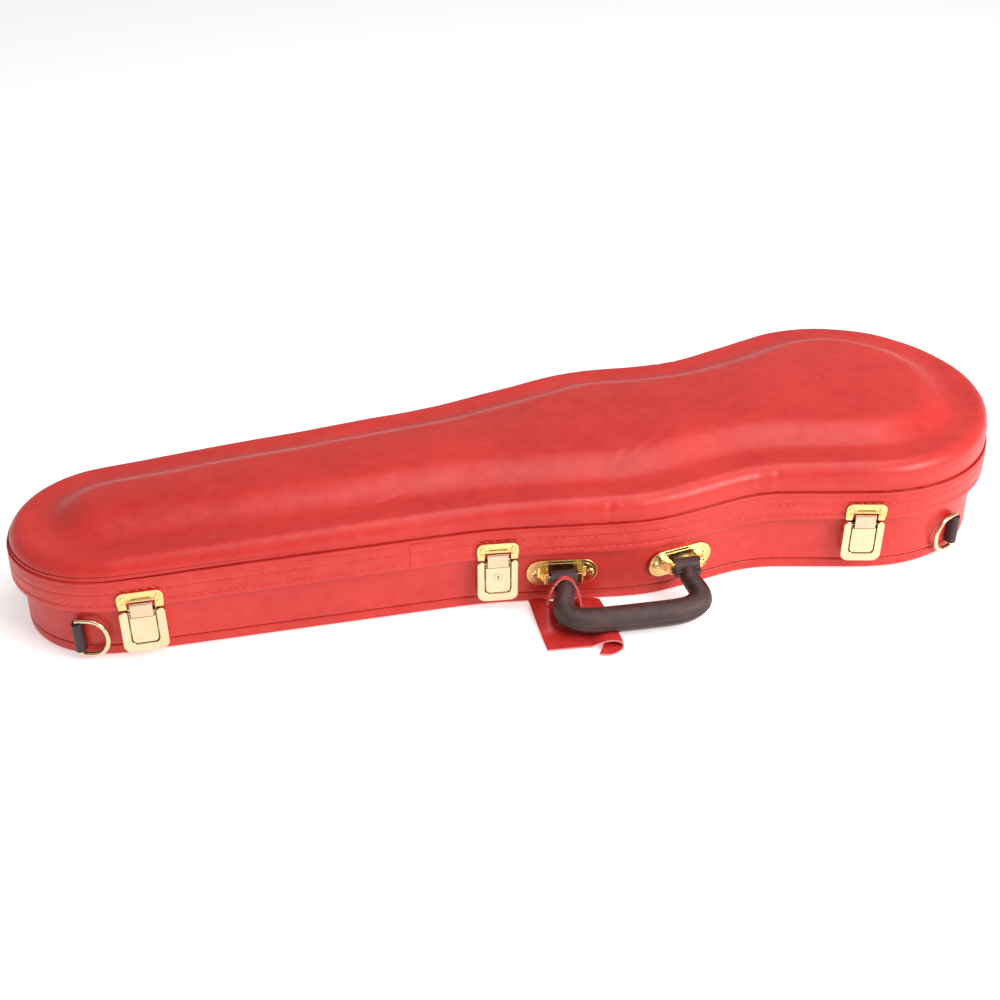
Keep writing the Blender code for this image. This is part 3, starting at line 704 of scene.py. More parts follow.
def make_lid_cover():
    """The moulded leather top: rolled lower edge, side, round rim, flat border and dome."""
    side_top = -RIM_RADIUS
    profile = [(-2.6, GROOVE, 1.6), (-1.6, GROOVE, 0.5), (-0.5, GROOVE, 0.35), (0.15, GROOVE, 1.3),
               (0.35, GROOVE, 3.4), (0.45, RIM_TOP, side_top - 2.0), (0.1, RIM_TOP, side_top)]
    for degrees in (20, 40, 60, 78):
        a = math.radians(degrees)
        profile.append((-RIM_RADIUS + RIM_RADIUS * math.cos(a), RIM_TOP,
                        side_top + RIM_RADIUS * math.sin(a)))
    profile += [(-14.0, RIM_TOP, -0.1), (-19.0, RIM_TOP, -0.35), (-BORDER, RIM_TOP, -0.1),
                (-32.0, RIM_TOP, 0.9), (-38.0, RIM_TOP, 3.4), (-45.0, RIM_TOP, 7.2),
                (-52.0, RIM_TOP, 10.2), (-58.0, RIM_TOP, 11.6), (-DOME_EDGE, RIM_TOP, DOME_RISE)]
    rings = rings_of(profile)
    edge = rings[-1]
    ends = CASE_ARCS[0][0], CASE_ARCS[-1][0]
    spine = np.column_stack([np.clip(edge[:, 0], *ends), np.zeros(len(edge))])
    half_width = np.linalg.norm(edge[:, :2] - spine, axis=1)
    for share in np.linspace(0, 1, 15)[1:]:
        flat = edge[:, :2] + (spine - edge[:, :2]) * share
        crown = CROWN * half_width / half_width.max() * (1 - (1 - share) ** 2)
        rings.append(np.column_stack([flat, level(RIM_TOP, flat[:, 0], DOME_RISE) + crown]))
    cover = skin("lid_cover", rings, LEATHER_RED, "lid", ["lid_top_leather"])
    tidy_mesh(cover)
    undulate(cover, ((85.0, 0.9, 3.1), (34.0, 0.35, 8.7), (13.0, 0.1, 5.3)), settle_on_top)
    pinch_creases(cover)


def settle_on_top(place):
    """Leather waves fade out towards the groove, where the edge is glued down."""
    above = place.z - level(GROOVE, place.x)
    return min(1.0, max(0.0, (above - 2.0) / 14.0))


# Creases where the leather was drawn round the waist and the shoulders: x, y, direction in
# degrees, length, depth.
CREASES = (
    (36.0, -104.0, 75, 26, 0.5), (47.0, -101.0, 80, 18, 0.35), (172.0, -97.0, 96, 24, 0.45),
    (158.0, -96.0, 88, 20, 0.35), (150.0, 92.0, 92, 24, 0.4), (165.0, 94.0, 85, 18, 0.3),
    (60.0, -60.0, 40, 42, 0.35), (85.0, -52.0, 30, 36, 0.3), (140.0, -48.0, 140, 34, 0.3),
    (-120.0, -52.0, 15, 40, 0.25), (120.0, 44.0, 155, 38, 0.3), (-250.0, 30.0, 170, 30, 0.2),
)


def pinch_creases(obj):
    normals = [vertex.normal.copy() for vertex in obj.data.vertices]
    for vertex, normal in zip(obj.data.vertices, normals):
        x, y = vertex.co.x / MM, vertex.co.y / MM
        for cx, cy, degrees, length, depth in CREASES:
            dx, dy = x - cx, y - cy
            if abs(dx) > length or abs(dy) > length:
                continue
            a = math.radians(degrees)
            along = dx * math.cos(a) + dy * math.sin(a)
            across = -dx * math.sin(a) + dy * math.cos(a) + 0.02 * along * along / 10
            fade = max(0.0, 1 - (2 * along / length) ** 2)
            dip = math.exp(-((across / 2.2) ** 2)) - 0.5 * math.exp(-(((across - 3.5) / 3) ** 2))
            vertex.co -= normal * depth * fade * dip * MM


def band_profile():
    """The lid's lower band: turned-in edge, two stitch rows in shallow dips, and a rolled lip."""
    slope = 0.6 / (GROOVE[0] - PARTING[0])
    height = GROOVE[0] - PARTING[0]

    def face(lift):
        return BAND_BULGE - slope * lift

    upper = height + UPPER_ROW
    return [
        (-1.2, PARTING, 0.0), (0.8, PARTING, -0.1), (2.1, PARTING, 0.15), (face(1), PARTING, 1.0),
        (face(2.4) + 0.15, PARTING, 2.6), (face(4) + 0.1, PARTING, 4.2),
        (face(5) - STITCH_DIP, PARTING, LOWER_ROW), (face(6) + 0.1, PARTING, LOWER_ROW + 1.4),
        (face(10) + 0.2, PARTING, 10.4), (face(13) + 0.1, PARTING, upper - 1.5),
        (face(15) - STITCH_DIP, PARTING, upper), (face(16) + 0.1, PARTING, upper + 1.5),
        (face(20), PARTING, 19.6), (1.7, GROOVE, -2.7), (1.75, GROOVE, -2.0), (2.05, GROOVE, -1.1),
        (1.7, GROOVE, -0.25), (0.9, GROOVE, -0.1), (0.2, GROOVE, -0.6), (-0.6, GROOVE, -1.1),
        (-1.35, GROOVE, -0.9), (-1.5, GROOVE, 0.9),
    ]


BAND_SEAM_X = -103.0
REAR_SEAM_X = -140.0


def make_band():
    band = skin("lid_band_leather", rings_of(band_profile(), 3), SIDE_RED, "lid",
                ["lid_band"])
    undulate(band, ((60.0, 0.35, 1.7), (18.0, 0.12, 4.4)))
    for name, height, lift, offset in (
        ("band_stitches_lower", PARTING, LOWER_ROW, BAND_BULGE - 0.1),
        ("band_stitches_upper", GROOVE, UPPER_ROW, BAND_BULGE - 0.4),
    ):
        line = ring(offset - STITCH_DIP, height, lift)
        stitch_row(name, line, outward_of(line), "lid", THREAD_LIGHT)
    for name, x, side in (("band_seam_front", BAND_SEAM_X, -1), ("band_seam_rear", REAR_SEAM_X, 1)):
        lapped_seam(name, band_profile()[3:14], x, side, "lid", SIDE_RED)


def lapped_seam(name, profile, x, side, body, material):
    """A flat overlap where the strip of leather ends: a thin lap with a crisp edge."""
    near = [i for i in range(len(POINTS)) if POINTS[i, 1] * side > 0 and abs(POINTS[i, 0] - x) < 9]
    order = sorted(near, key=lambda i: POINTS[i, 0])
    columns = len(order)
    outward = outward_of(POINTS)[order]
    thinning = np.linspace(1, 0, columns)[:, None]
    rows = [r[order] + outward * SEAM_LAP * thinning for r in rings_of(profile, 3)]
    points = np.concatenate(rows)
    folded = np.concatenate([row[:1] - outward[:1] * 2 * SEAM_LAP for row in rows])
    faces = grid_faces(len(rows), columns, wrap=False)
    base = len(points)
    for r in range(len(rows) - 1):
        faces.append((r * columns, (r + 1) * columns, base + r + 1, base + r))
    made = piece_from(name, np.concatenate([points, folded]), faces, material, body)
    made.data.set_sharp_from_angle(angle=math.radians(35))


# ---- base -----------------------------------------------------------------------------------
def make_side_leather():
    """The wall's leather, turned over the rim at the top and lapped by the bottom strip."""
    height = PARTING[0]
    profile = [
        (WALL - 6.4, PARTING, -1.6), (WALL - 6.0, PARTING, -0.5), (WALL - 4.6, PARTING, -0.2),
        (WALL - 1.4, PARTING, -0.2), (WALL - 0.3, PARTING, -0.5), (WALL, PARTING, -2.0),
        (WALL + 0.05, PARTING, -8.0), (WALL, PARTING, -16.0), (WALL, PARTING, 24.0 - height),
        (WALL + 0.1, FLOOR, 15.0), (WALL + 0.15, FLOOR, SEAM_LEVEL + 2.4),
        (WALL - 0.2, FLOOR, SEAM_LEVEL + 0.9), (WALL - 1.1, FLOOR, SEAM_LEVEL),
        (WALL - 1.3, FLOOR, SEAM_LEVEL - 1.5),
    ]
    wall = skin("wall_leather", rings_of(profile), SIDE_RED, "base",
                ["side_leather"])
    undulate(wall, ((70.0, 0.5, 2.3), (22.0, 0.14, 6.1)), settle_on_wall)


def settle_on_wall(place):
    """Waves fade out towards the seam below and the rim above."""
    return min(1.0, max(0.0, (place.z - SEAM_LEVEL) / 8.0), max(0.0, (PARTING[0] - place.z) / 9.0))


def make_bottom_leather():
    """The bottom's leather, wrapped up the side to a stitched seam."""
    profile = [
        (WALL - 1.5, FLOOR, SEAM_LEVEL - 0.4), (WALL - 0.7, FLOOR, SEAM_LEVEL - 0.2),
        (WALL - 0.1, FLOOR, SEAM_LEVEL - 0.9), (WALL + 0.25, FLOOR, SEAM_LEVEL - 2.6),
        (WALL + 0.2, FLOOR, 3.0), (WALL - 0.1, FLOOR, 1.4), (WALL - 1.1, FLOOR, 0.35),
        (WALL - 3.0, FLOOR, 0.0), (WALL - 12.0, FLOOR, 0.0),
    ]
    rings = rings_of(profile)
    edge = rings[-1]
    spine = np.column_stack([np.clip(edge[:, 0], -319, 257), np.zeros((len(edge), 2))])
    for share in (0.25, 0.5, 0.75, 1.0):
        rings.append(edge + (spine - edge) * share)
    bottom = skin("bottom_leather", rings, SIDE_RED, "base", ["base_leather"])
    tidy_mesh(bottom)
    line = ring(WALL - 0.75, FLOOR, SEAM_LEVEL + 0.25)
    stitch_row("seam_stitches", line, outward_of(line), "base", THREAD_DARK,
               pitch=4.6, share=0.7, thickness=0.7)


def make_rim():
    """The tongue that the lid closes over, its edge bound in plush."""
    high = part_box("rim_tongue_rear")[1]
    outer = WALL - LEATHER - 0.3 - 4.5 - 0.3
    inner = outer - 1.8
    rise = high.z / MM - level(PARTING, high.x / MM)
    profile = [(outer, FLOOR, 28.0), (outer, PARTING, -6.0), (outer, PARTING, rise - 1.0),
               (outer - 0.25, PARTING, rise - 0.25), (outer - 0.9, PARTING, rise),
               (inner + 0.25, PARTING, rise - 0.25), (inner, PARTING, rise - 1.0),
               (inner, PARTING, -6.0), (inner, FLOOR, 28.0)]
    skin("rim_tongue_covered", rings_of(profile), LINING_PLUSH, "base",
         ["rim_tongue_front", "rim_tongue_rear"])


# ---- latches --------------------------------------------------------------------------------
LEVER_PIVOT = (-0.9, -4.5)
LEVER_TOP = -6.4
LEVER_FOOT = -28.5
LEVER_FRONT = -5.15
RECESS = 9.9
RECESS_FOOT = -29.3
LOCK_Z = -14.6
TONGUE_HALF = 7.9
TONGUE_FOOT = -5.3


def screw_head(x, z, face, radius, slot_degrees=30):
    """A domed screw head with a slot, standing on a face that looks along -Y."""
    dome = turned(((face + 0.4, radius), (face - 0.35, radius), (face - 0.8, radius * 0.86),
                   (face - 1.15, radius * 0.6), (face - 1.3, radius * 0.25)), centre=(x, z))
    slot = block((-radius * 1.2, face - 2.0, -0.42), (radius * 1.2, face - 0.75, 0.42))
    bmesh.ops.rotate(slot, cent=(0, 0, 0), verts=slot.verts,
                     matrix=Matrix.Rotation(math.radians(slot_degrees), 3, "Y"))
    bmesh.ops.translate(slot, vec=(x, 0, z), verts=slot.verts)
    return shaped(dome, [slot], bevel=0.12, segments=2)


def u_outline(half, low, high):
    """Outline of the latch's body: a U round the recess, the tops of both arms rounded."""
    arm = rounded(RECESS, half, low + 12, high, (0, 0, 3.2, 2.2))[2:]
    walk = rounded(-half, half, low, high, (6.5, 6.5, 0, 0))[:-2] + arm
    walk += rounded(-RECESS, RECESS, RECESS_FOOT, high - 3, (3.6, 3.6, 0, 0))[-3::-1]
    return walk + [(-x, z) for x, z in arm[::-1]]


def make_latch(index):
    """One draw latch: the plate on the wall, the lid's catch, the lever and its hasp."""
    name = f"latch_{index}"
    local = joint_frame(f"{name}_lift", -1) @ Matrix.Translation((0, *(-v for v in LEVER_PIVOT)))
    low, high = local_box(f"{name}_plate", local)
    half, face, wall = high.x, low.y, high.y
    back = rounded(-half + 0.5, half - 0.5, low.z + 0.5, high.z - 0.4, (6, 6, 3, 3))
    plate = [
        shaped(prism(u_outline(half, low.z, high.z), face, wall), bevel=0.8, segments=4),
        (shaped(prism(back, wall - 1.2, wall - 0.1), bevel=0.2, segments=1), 1),
    ]
    assemble(f"{name}_body", plate, local, [BRASS, BRASS_DEEP], "base",
             [f"{name}_plate"])
    make_keeper(name, local)
    make_lever(name, local, RECESS - 0.8, locking=index == 2)
    make_tongue(name, local)


def make_keeper(name, local):
    """The lid's catch: a thin foot and a raised frame with a window, rivets and a hook bar."""
    low, high = local_box(f"{name}_keeper", local)
    half, front, back = high.x, low.y + 0.8, high.y
    ceiling, lobe = 7.2, 3.4

    def openings():
        """The gap for the hasp and the window above the hook bar."""
        return [block((-RECESS, front - 4, low.z - 3), (RECESS, back + 3, ceiling)),
                prism(rounded(-7, 7, 8.7, 11.0, (1, 1, 1, 1)), front - 4, back + 3)]

    foot_outline = rounded(-half + 0.4, half - 0.4, low.z, high.z - 0.4, (0.8, 0.8, 4.5, 4.5))
    foot = shaped(prism(foot_outline, back - 0.7, back), openings(), bevel=0.15)
    plate_outline = rounded(-half, half, lobe, high.z, (2.6, 2.6, 4.8, 4.8))
    plate = shaped(prism(plate_outline, front + 0.5, back), openings(), bevel=0.35)
    inner_rim = rounded(-half + 1.5, half - 1.5, lobe - 4, high.z - 1.6, (0, 0, 3.4, 3.4))
    border = shaped(prism(plate_outline, front - 0.15, front + 1.0),
                    [prism(inner_rim, front - 4, back + 3)], bevel=0.3)
    bar = shaped(prism(circle(front + 0.1, 7.7, 0.8, 20), -RECESS - 0.6, RECESS + 0.6, "x"),
                 bevel=0.2, segments=1)
    shapes = [(foot, 1), plate, border, bar]
    for x in (-half + 4.0, half - 4.0):
        for z, radius, depth in ((9.4, 1.7, 0.55), (5.0, 1.1, 0.3)):
            shapes.append(shaped(
                turned(((back - 0.2, radius), (front + 0.1, radius), (front - 0.35, radius * 0.8),
                        (front - depth, radius * 0.3)), centre=(x, z), sides=24)
            ))
            ring_cut = prism(circle(x, z, radius), -20, 20)
            shapes.append((shaped(prism(circle(x, z, radius + 0.6), front + 0.1, front + 0.6),
                                  [ring_cut]), 1))
    behind = rounded(-8, 8, 8.0, 11.6, (0.5, 0.5, 0.5, 0.5))
    shapes.append((shaped(prism(behind, back - 0.3, back + 0.1)), 2))
    metals = [BRASS_YELLOW, BRASS_DEEP, LEATHER_RED]
    assemble(f"{name}_catch", shapes, local, metals, "lid", [f"{name}_keeper"])


def make_lever(name, local, half, locking):
    """The lever with its web, cheeks and barrel, its pin, and the lock where it has one."""
    y, z = LEVER_PIVOT
    face = rounded(-half, half, LEVER_FOOT, LEVER_TOP, (3.4, 3.4, 0.5, 0.5))
    cuts = [prism(circle(0, LOCK_Z, 3.05), -8, 0)] if locking else []
    shapes = [shaped(prism(face, LEVER_FRONT, LEVER_FRONT + 1.55), cuts, bevel=0.45)]
    web = [(-3.8, -6.8), (-3.8, -10.0), (-0.5, -5.9), (-2.1, -4.5)]
    shapes.append(shaped(prism(web, -half + 0.2, half - 0.2, "x"), bevel=0.15, segments=1))
    cheek = [(-3.7, -23), (-3.7, -7.0), (-2.2, -4.8), (0.3, -5.2), (-1.6, -14)]
    for x in (-half, half - 1.0):
        shapes.append(shaped(prism(cheek, x, x + 1.0, "x"), bevel=0.25, segments=2))
    shapes.append(shaped(prism(circle(y, z, 1.5, 24), -half + 0.1, half - 0.1, "x"), bevel=0.2))
    if locking:
        collar = prism(circle(0, LOCK_Z, 3.9), LEVER_FRONT - 0.2, LEVER_FRONT + 0.5)
        shapes.append(shaped(collar, [prism(circle(0, LOCK_Z, 2.95), -8, 0)], bevel=0.2,
                             segments=2))
        plug = shaped(prism(circle(0, LOCK_Z, 2.75), LEVER_FRONT - 0.15, -2.6),
                      [block((-0.4, -7, LOCK_Z - 1.9), (0.4, -3.4, LOCK_Z + 1.9)),
                       prism(circle(0, LOCK_Z + 0.5, 0.85, 20), -7, -3.4)], bevel=0.15, segments=2)
        assemble("lock_barrel", [plug], local, BRASS, "lock", ["lock_plug"])
    assemble(f"{name}_lever_plate", shapes, local, BRASS, f"{name}_lever",
             [f"{name}_lever"])
    pin_low, pin_high = local_box(f"{name}_pin", local)
    pin = shaped(prism(circle(y, z, 0.9, 20), pin_low.x, pin_high.x, "x"), bevel=0.15, segments=1)
    assemble(f"{name}_axle", [pin], local, BRASS_DEEP, "base", [f"{name}_pin"])


def make_tongue(name, local):
    """The draw hasp: a slim plate, rolled at its foot and bent back where it holds the bar."""
    low, high = local_box(f"{name}_hasp", local)
    front, back = low.y, high.y
    profile = [(front, TONGUE_FOOT), (front - 0.1, -2.0), (front, 3.2), (front + 0.25, 4.6),
               (front + 0.8, 5.35), (back, 5.5), (back, TONGUE_FOOT)]
    tongue = shaped(prism(profile, -TONGUE_HALF, TONGUE_HALF, "x"), bevel=0.35)
    barrel = shaped(prism(circle((front + back) / 2, TONGUE_FOOT, 0.7, 20), -TONGUE_HALF,
                          TONGUE_HALF, "x"), bevel=0.15, segments=1)
    assemble(f"{name}_tongue", [tongue, barrel], local, BRASS_WARM, f"{name}_hasp",
             [f"{name}_hasp"])


# ---- carrying handle ------------------------------------------------------------------------
HANDLE = joint_frame("handle_swing", -1)
PIN_LEFT, PIN_RIGHT = local_box("handle_pin_left", HANDLE), local_box("handle_pin_right", HANDLE)
HALF_SPAN = (PIN_RIGHT[0].x + PIN_RIGHT[1].x) / 2
DROOP = math.radians(23)
DROOPING = HANDLE @ Matrix.Rotation(DROOP, 4, "X")


def make_handle_plate(name):
    """An oval plate with a raised rim, two slotted screws and the two ears of the pin."""
    node = f"handle_plate_{name}"
    local = wall_frame(node)
    pin = HANDLE @ Vector((HALF_SPAN * (1 if name == "right" else -1), 0, 0))
    local.translation = Vector((local.translation.x, local.translation.y, pin.z))
    low, high = local_box(node, local)
    local = local @ Matrix.Translation(((low.x + high.x) / 2, 0, 0))
    low, high = local_box(node, local)
    half, wall, reach = high.x, high.y, 11.0
    middle = (low.z + high.z) / 2
    pin_y = (local.inverted() @ pin).y
    face = wall - 1.8

    def oval(inset):
        return rounded(-half + inset, half - inset, middle - reach + inset, middle + reach - inset,
                       (reach - inset,) * 4, steps=10)

    room = (-10.7, face - 3, -6.6), (10.7, face + 1.2, 6.6)
    shapes = [shaped(prism(oval(0), face + 0.1, wall), [block(*room)], bevel=0.8, segments=5),
              shaped(prism(oval(2.6), face - 0.35, face + 0.4), [block(*room)], bevel=0.3)]
    tip = pin_y - 3.4
    for side in (-1, 1):
        ear = [(11.0, wall - 0.4), (11.0, tip), (14.2, tip), (14.6, tip + 2.2), (15.4, tip + 4.0),
               (16.8, face - 0.9), (19.4, face), (19.4, wall - 0.4)]
        ear = [(side * x, y) for x, y in ear]
        shapes.append(shaped(prism(ear, -4.5, 4.5, "z"), bevel=0.4))
        shapes.append(screw_head(side * 21.4, middle, face - 0.2, 2.9, 35 * side + 20))
    assemble(f"handle_escutcheon_{name}", shapes, local, BRASS_YELLOW, "base", [node])
    pin_node = f"handle_pin_{name}"
    pin_low, pin_high = local_box(pin_node, HANDLE)
    radius = pin_high.z
    centre = (pin_low.x + pin_high.x) / 2
    rod = turned([(centre + side * x, r) for side, x, r in (
        (-1, 15.3, radius * 0.7), (-1, 15.0, radius * 1.3), (-1, 14.4, radius * 1.3),
        (-1, 14.3, radius), (1, 14.3, radius), (1, 14.4, radius * 1.3), (1, 15.0, radius * 1.3),
        (1, 15.3, radius * 0.7))], along="x", sides=24)
    assemble(f"handle_rod_{name}", [shaped(rod)], HANDLE, BRASS_YELLOW, "base", [pin_node])


LOOP_HALF = 9.8


def make_loop(name, x):
    """The leather that wraps the pin in a round drum and closes over the grip's end."""
    drum = smooth_line([(3.9, -3.4), (3.95, 0.0), (3.9, 3.2), (2.7, 4.9), (0.0, 5.4), (-3.0, 5.2),
                        (-5.3, 4.0), (-6.4, 2.9), (-7.8, 3.1), (-9.4, 3.4), (-10.0, 2.4),
                        (-10.0, -2.4), (-9.4, -3.4), (-7.8, -3.2), (-6.4, -2.9), (-5.3, -4.0),
                        (-3.0, -5.0), (0.0, -5.2), (2.7, -4.8), (3.9, -3.4)], 4)
    data = shaped(prism([tuple(p) for p in drum[:-1]], x - LOOP_HALF, x + LOOP_HALF, "x"),
                  [prism(circle(0, 0, 1.75, 24), x - 20, x + 20, "x")], bevel=0.8, segments=3)
    assemble(f"handle_strap_{name}", [data], DROOPING, LOOP_LEATHER, "handle",
             [f"handle_loop_{name}"], angle=50)
    turn = DROOPING.to_3x3()
    for label, y, z in (("top", -4.6, 3.7), ("under", -4.6, -3.7)):
        line = np.array([DROOPING @ Vector((x + s, y, z)) for s in np.linspace(-7.8, 7.8, 9)])
        up = np.array([(turn @ Vector((0, -0.55, math.copysign(0.83, z))))[:] for _ in line])
        stitch_row(f"strap_stitches_{name}_{label}", line, up, "handle",
                   THREAD_BROWN, pitch=2.3, thickness=0.5, closed=False)


GRIP_ROUTE = (
    (0.0, 6.6, 6.0), (0.0, 9.9, 6.6), (0.2, 13.0, 6.9), (1.8, 17.5, 7.3), (4.0, 23.5, 7.8),
    (4.4, 29.0, 8.3), (2.0, 34.4, 8.8), (-4.5, 38.2, 9.3), (-13.0, 40.3, 9.8), (-28.0, 41.1, 10.0),
)


def make_grip():
    """The padded grip, swept along its bow, with a closing seam along its lower edge."""
    half = [(HALF_SPAN + out, reach, radius) for out, reach, radius in GRIP_ROUTE]
    route = [(-x, reach, radius) for x, reach, radius in half]
    route += [(x, reach, radius) for x, reach, radius in half[::-1]]
    line = smooth_line(route, 14)
    rotate = np.array(DROOPING.to_3x3())
    path = np.column_stack([line[:, 0], -line[:, 1], np.zeros(len(line))])
    path = path @ rotate.T + np.array(DROOPING.translation)
    binormal = rotate @ (0, 0, 1)
    seam = math.radians(16)

    def section(share, angles):
        """Slightly flat above and below, with a ridge where the hide is closed."""
        shape = 1 - 0.045 * np.sin(angles) ** 2
        gap = (angles - seam + math.pi) % (2 * math.pi) - math.pi
        ridge = (0.05 * np.exp(-((gap + 0.16) / 0.1) ** 2)
                 - 0.045 * np.exp(-((gap - 0.02) / 0.07) ** 2))
        fade = min(1.0, share / 0.12, (1 - share) / 0.12)
        return shape + ridge * fade

    points, faces = tube(path, line[:, 2], binormal, sides=72, section=section)
    grip = piece_from("handle_grip_leather", points, faces, DARK_LEATHER, "handle",
                      ["handle_grip"])
    tidy_mesh(grip)
    wrinkle_elbows(grip)
    tangent = np.gradient(path, axis=0)
    side = np.cross(tangent, binormal)
    side /= np.linalg.norm(side, axis=1)[:, None]
    outward = math.cos(seam) * side + math.sin(seam) * binormal
    keep = slice(len(path) // 9, -len(path) // 9)
    thread_line = path + outward * (line[:, 2] * 0.955)[:, None]
    stitch_row("grip_stitches", thread_line[keep], outward[keep], "handle",
               THREAD_BROWN, pitch=3.2, thickness=0.6, closed=False)


def wrinkle_elbows(grip):
    """Fine cross folds on the inside of both elbows."""
    inverse = DROOPING.inverted()
    normals = [vertex.normal.copy() for vertex in grip.data.vertices]
    for vertex, normal in zip(grip.data.vertices, normals):
        place = inverse @ (vertex.co / MM)
        for side in (-1, 1):
            centre = Vector((side * (HALF_SPAN - 9.0), -25.0, 0))
            away = place - centre
            bend = math.degrees(math.atan2(-away.y, side * away.x))
            if not -10 < bend < 110:
                continue
            inside = max(0.0, 1 - (away.length - 3.0) / 17.0)
            fold = math.sin(bend * 0.52 + 2.3 * noise.noise(place / 6)) ** 3
            fade = max(0.0, 1 - ((bend - 50) / 60) ** 2)
            vertex.co -= normal * 0.42 * fold * inside * fade * MM


# ---- luggage tag ----------------------------------------------------------------------------
TAG = frame_of((0.9952, -0.098, 0.0), (-0.9, -115.7, 0.0))
TAG_THICKNESS = 1.3
# Rows from the wall to the free edge, each from left to right: x along the case, y towards the
# wall and z above the floor. The last entries of the front rows go round the curl.
TAG_ROWS = (
    ((-24.2, 19.6, 5.5), (-15, 19, 6.2), (-6, 18.5, 2.6), (4, 18, 1.6), (11, 17.5, 3.0),
     (16, 17, 3.6), (20, 16.5, 4.0), (23.4, 16, 4.0), (26, 15.6, 3.8), (28, 15.2, 3.4),
     (29.4, 14.8, 3.0), (30.4, 14.4, 2.6)),
    ((-22.8, 0, 3.4), (-13.2, 1.0, 12.0), (-6.8, 0, 3.0), (4.5, 0, 1.2), (12.4, 0.3, 8.4),
     (16.5, 0, 4.2), (20.5, 0, 2.6), (24.5, 0, 2.3), (27.5, 0, 2.2), (29.8, 0, 2.0),
     (31.4, 0, 1.8), (32.6, 0, 1.5)),
    ((-22.3, -13, 2.2), (-14, -12, 5.4), (-5.5, -13, 1.6), (5, -13, 1.0), (12.3, -12.6, 3.0),
     (17.5, -13, 1.9), (22, -13.2, 2.0), (26, -13.4, 2.2), (29.4, -13.6, 2.2),
     (31.6, -13.8, 2.0), (33, -14, 1.6), (34, -14.1, 1.2)),
    ((-22.0, -20, 1.6), (-11.5, -20, 1.5), (0, -20.2, 1.1), (10, -20.6, 1.2), (16.5, -21, 2.2),
     (22, -21.4, 3.4), (27, -21.8, 3.9), (31, -22.4, 3.4), (33.6, -23.4, 2.4),
     (34.4, -25, 1.5), (33, -26.8, 0.9), (30, -27.4, 1.1)),
    ((-21.7, -27, 1.3), (-10, -27, 1.1), (2, -27.4, 1.1), (11, -28, 1.4), (16.8, -28.8, 3.4),
     (21.8, -29.4, 5.2), (27, -29.8, 5.8), (31.6, -30.2, 4.9), (34.2, -31.6, 2.9),
     (33.4, -34.6, 1.2), (28, -37, 0.8), (21.6, -37, 1.6)),
    ((-21.3, -33, 1.2), (-9.5, -33.2, 1.2), (2.5, -33.6, 1.2), (11.3, -34.2, 1.5),
     (16.7, -35.2, 4.0), (21.4, -36, 6.0), (26.8, -36.4, 6.6), (31.8, -36.8, 5.3),
     (34.5, -38, 2.9), (33, -41, 1.0), (26, -44.2, 0.8), (18, -43.8, 1.8)),
    ((-21, -38, 1.2), (-9, -38.4, 1.2), (3, -38.8, 1.2), (11.5, -39.6, 1.5), (16.5, -40.8, 4.2),
     (21, -41.8, 6.2), (26.5, -42.2, 6.8), (31.8, -42.4, 5.4), (34.4, -43.6, 2.8),
     (32, -46.6, 0.9), (23.5, -50.4, 0.7), (14.8, -49.6, 1.8)),
)
TAG_SLIT = ((-2.5, -12.0, 1.1), (12.5, -29.5, 1.6))


def make_tag():
    """A leather sheet laid under the handle's leg, one front corner curled into a roll."""
    rows = [smooth_line(row, 6) for row in TAG_ROWS]
    columns = np.stack([smooth_line(np.array(rows)[:, i], 9) for i in range(len(rows[0]))], axis=1)
    count_rows, count_columns = columns.shape[:2]
    points = in_frame(columns.reshape(-1, 3), TAG)
    faces = grid_faces(count_rows, count_columns, wrap=False)
    sheet = piece_from("tag_sheet", points, faces, [TAG_RED, CUT_EDGE], "tag",
                       ["tag_flap"])
    undulate(sheet, ((19.0, 0.5, 2.9),), lambda place: min(1.0, place.z / 6.0))
    press_slit(sheet)
    solidify(sheet, TAG_THICKNESS)
    make_tag_loop()


def in_frame(points, local):
    """Points of a local frame as points of the case's frame."""
    return np.asarray(points) @ np.array(local.to_3x3()).T + np.array(local.translation)


def press_slit(sheet):
    """The crease left by the tongue that was cut out of the middle of the tag."""
    start, end = (in_frame([point], TAG)[0] for point in TAG_SLIT)
    run = end - start
    normals = [vertex.normal.copy() for vertex in sheet.data.vertices]
    for vertex, normal in zip(sheet.data.vertices, normals):
        away = np.array(vertex.co) / MM - start
        share = float(away @ run / (run @ run))
        gap = float(np.linalg.norm((away - share * run)[:2]))
        if -0.2 < share < 1.2:
            fade = math.exp(-((gap / 1.3) ** 2)) - 0.6 * math.exp(-(((gap - 3) / 1.6) ** 2))
            vertex.co += normal * 0.7 * fade * max(0.0, 1 - abs(2 * share - 1) ** 4) * MM


def solidify(obj, thickness):
    """Gives a sheet its thickness, with its second material on the cut edge."""
    modifier = obj.modifiers.new("thickness", "SOLIDIFY")
    modifier.thickness = thickness * MM
    modifier.offset = 0.0
    modifier.use_rim = True
    modifier.material_offset_rim = 1
    apply_modifiers(obj)
    obj.data.shade_smooth()
    obj.data.set_sharp_from_angle(angle=math.radians(50))


TAG_ARCH = (
    (-13.8, 0.2, 8.6), (-12.9, 1.2, 13.0), (-11.2, 2.6, 19.6), (-7.2, 4.0, 27.4), (-0.9, 4.9, 32.2),
    (5.4, 4.3, 30.0), (9.4, 2.5, 24.2), (11.4, 1.2, 17.5), (12.5, 0.6, 11.0), (12.8, 0.2, 6.6),
)


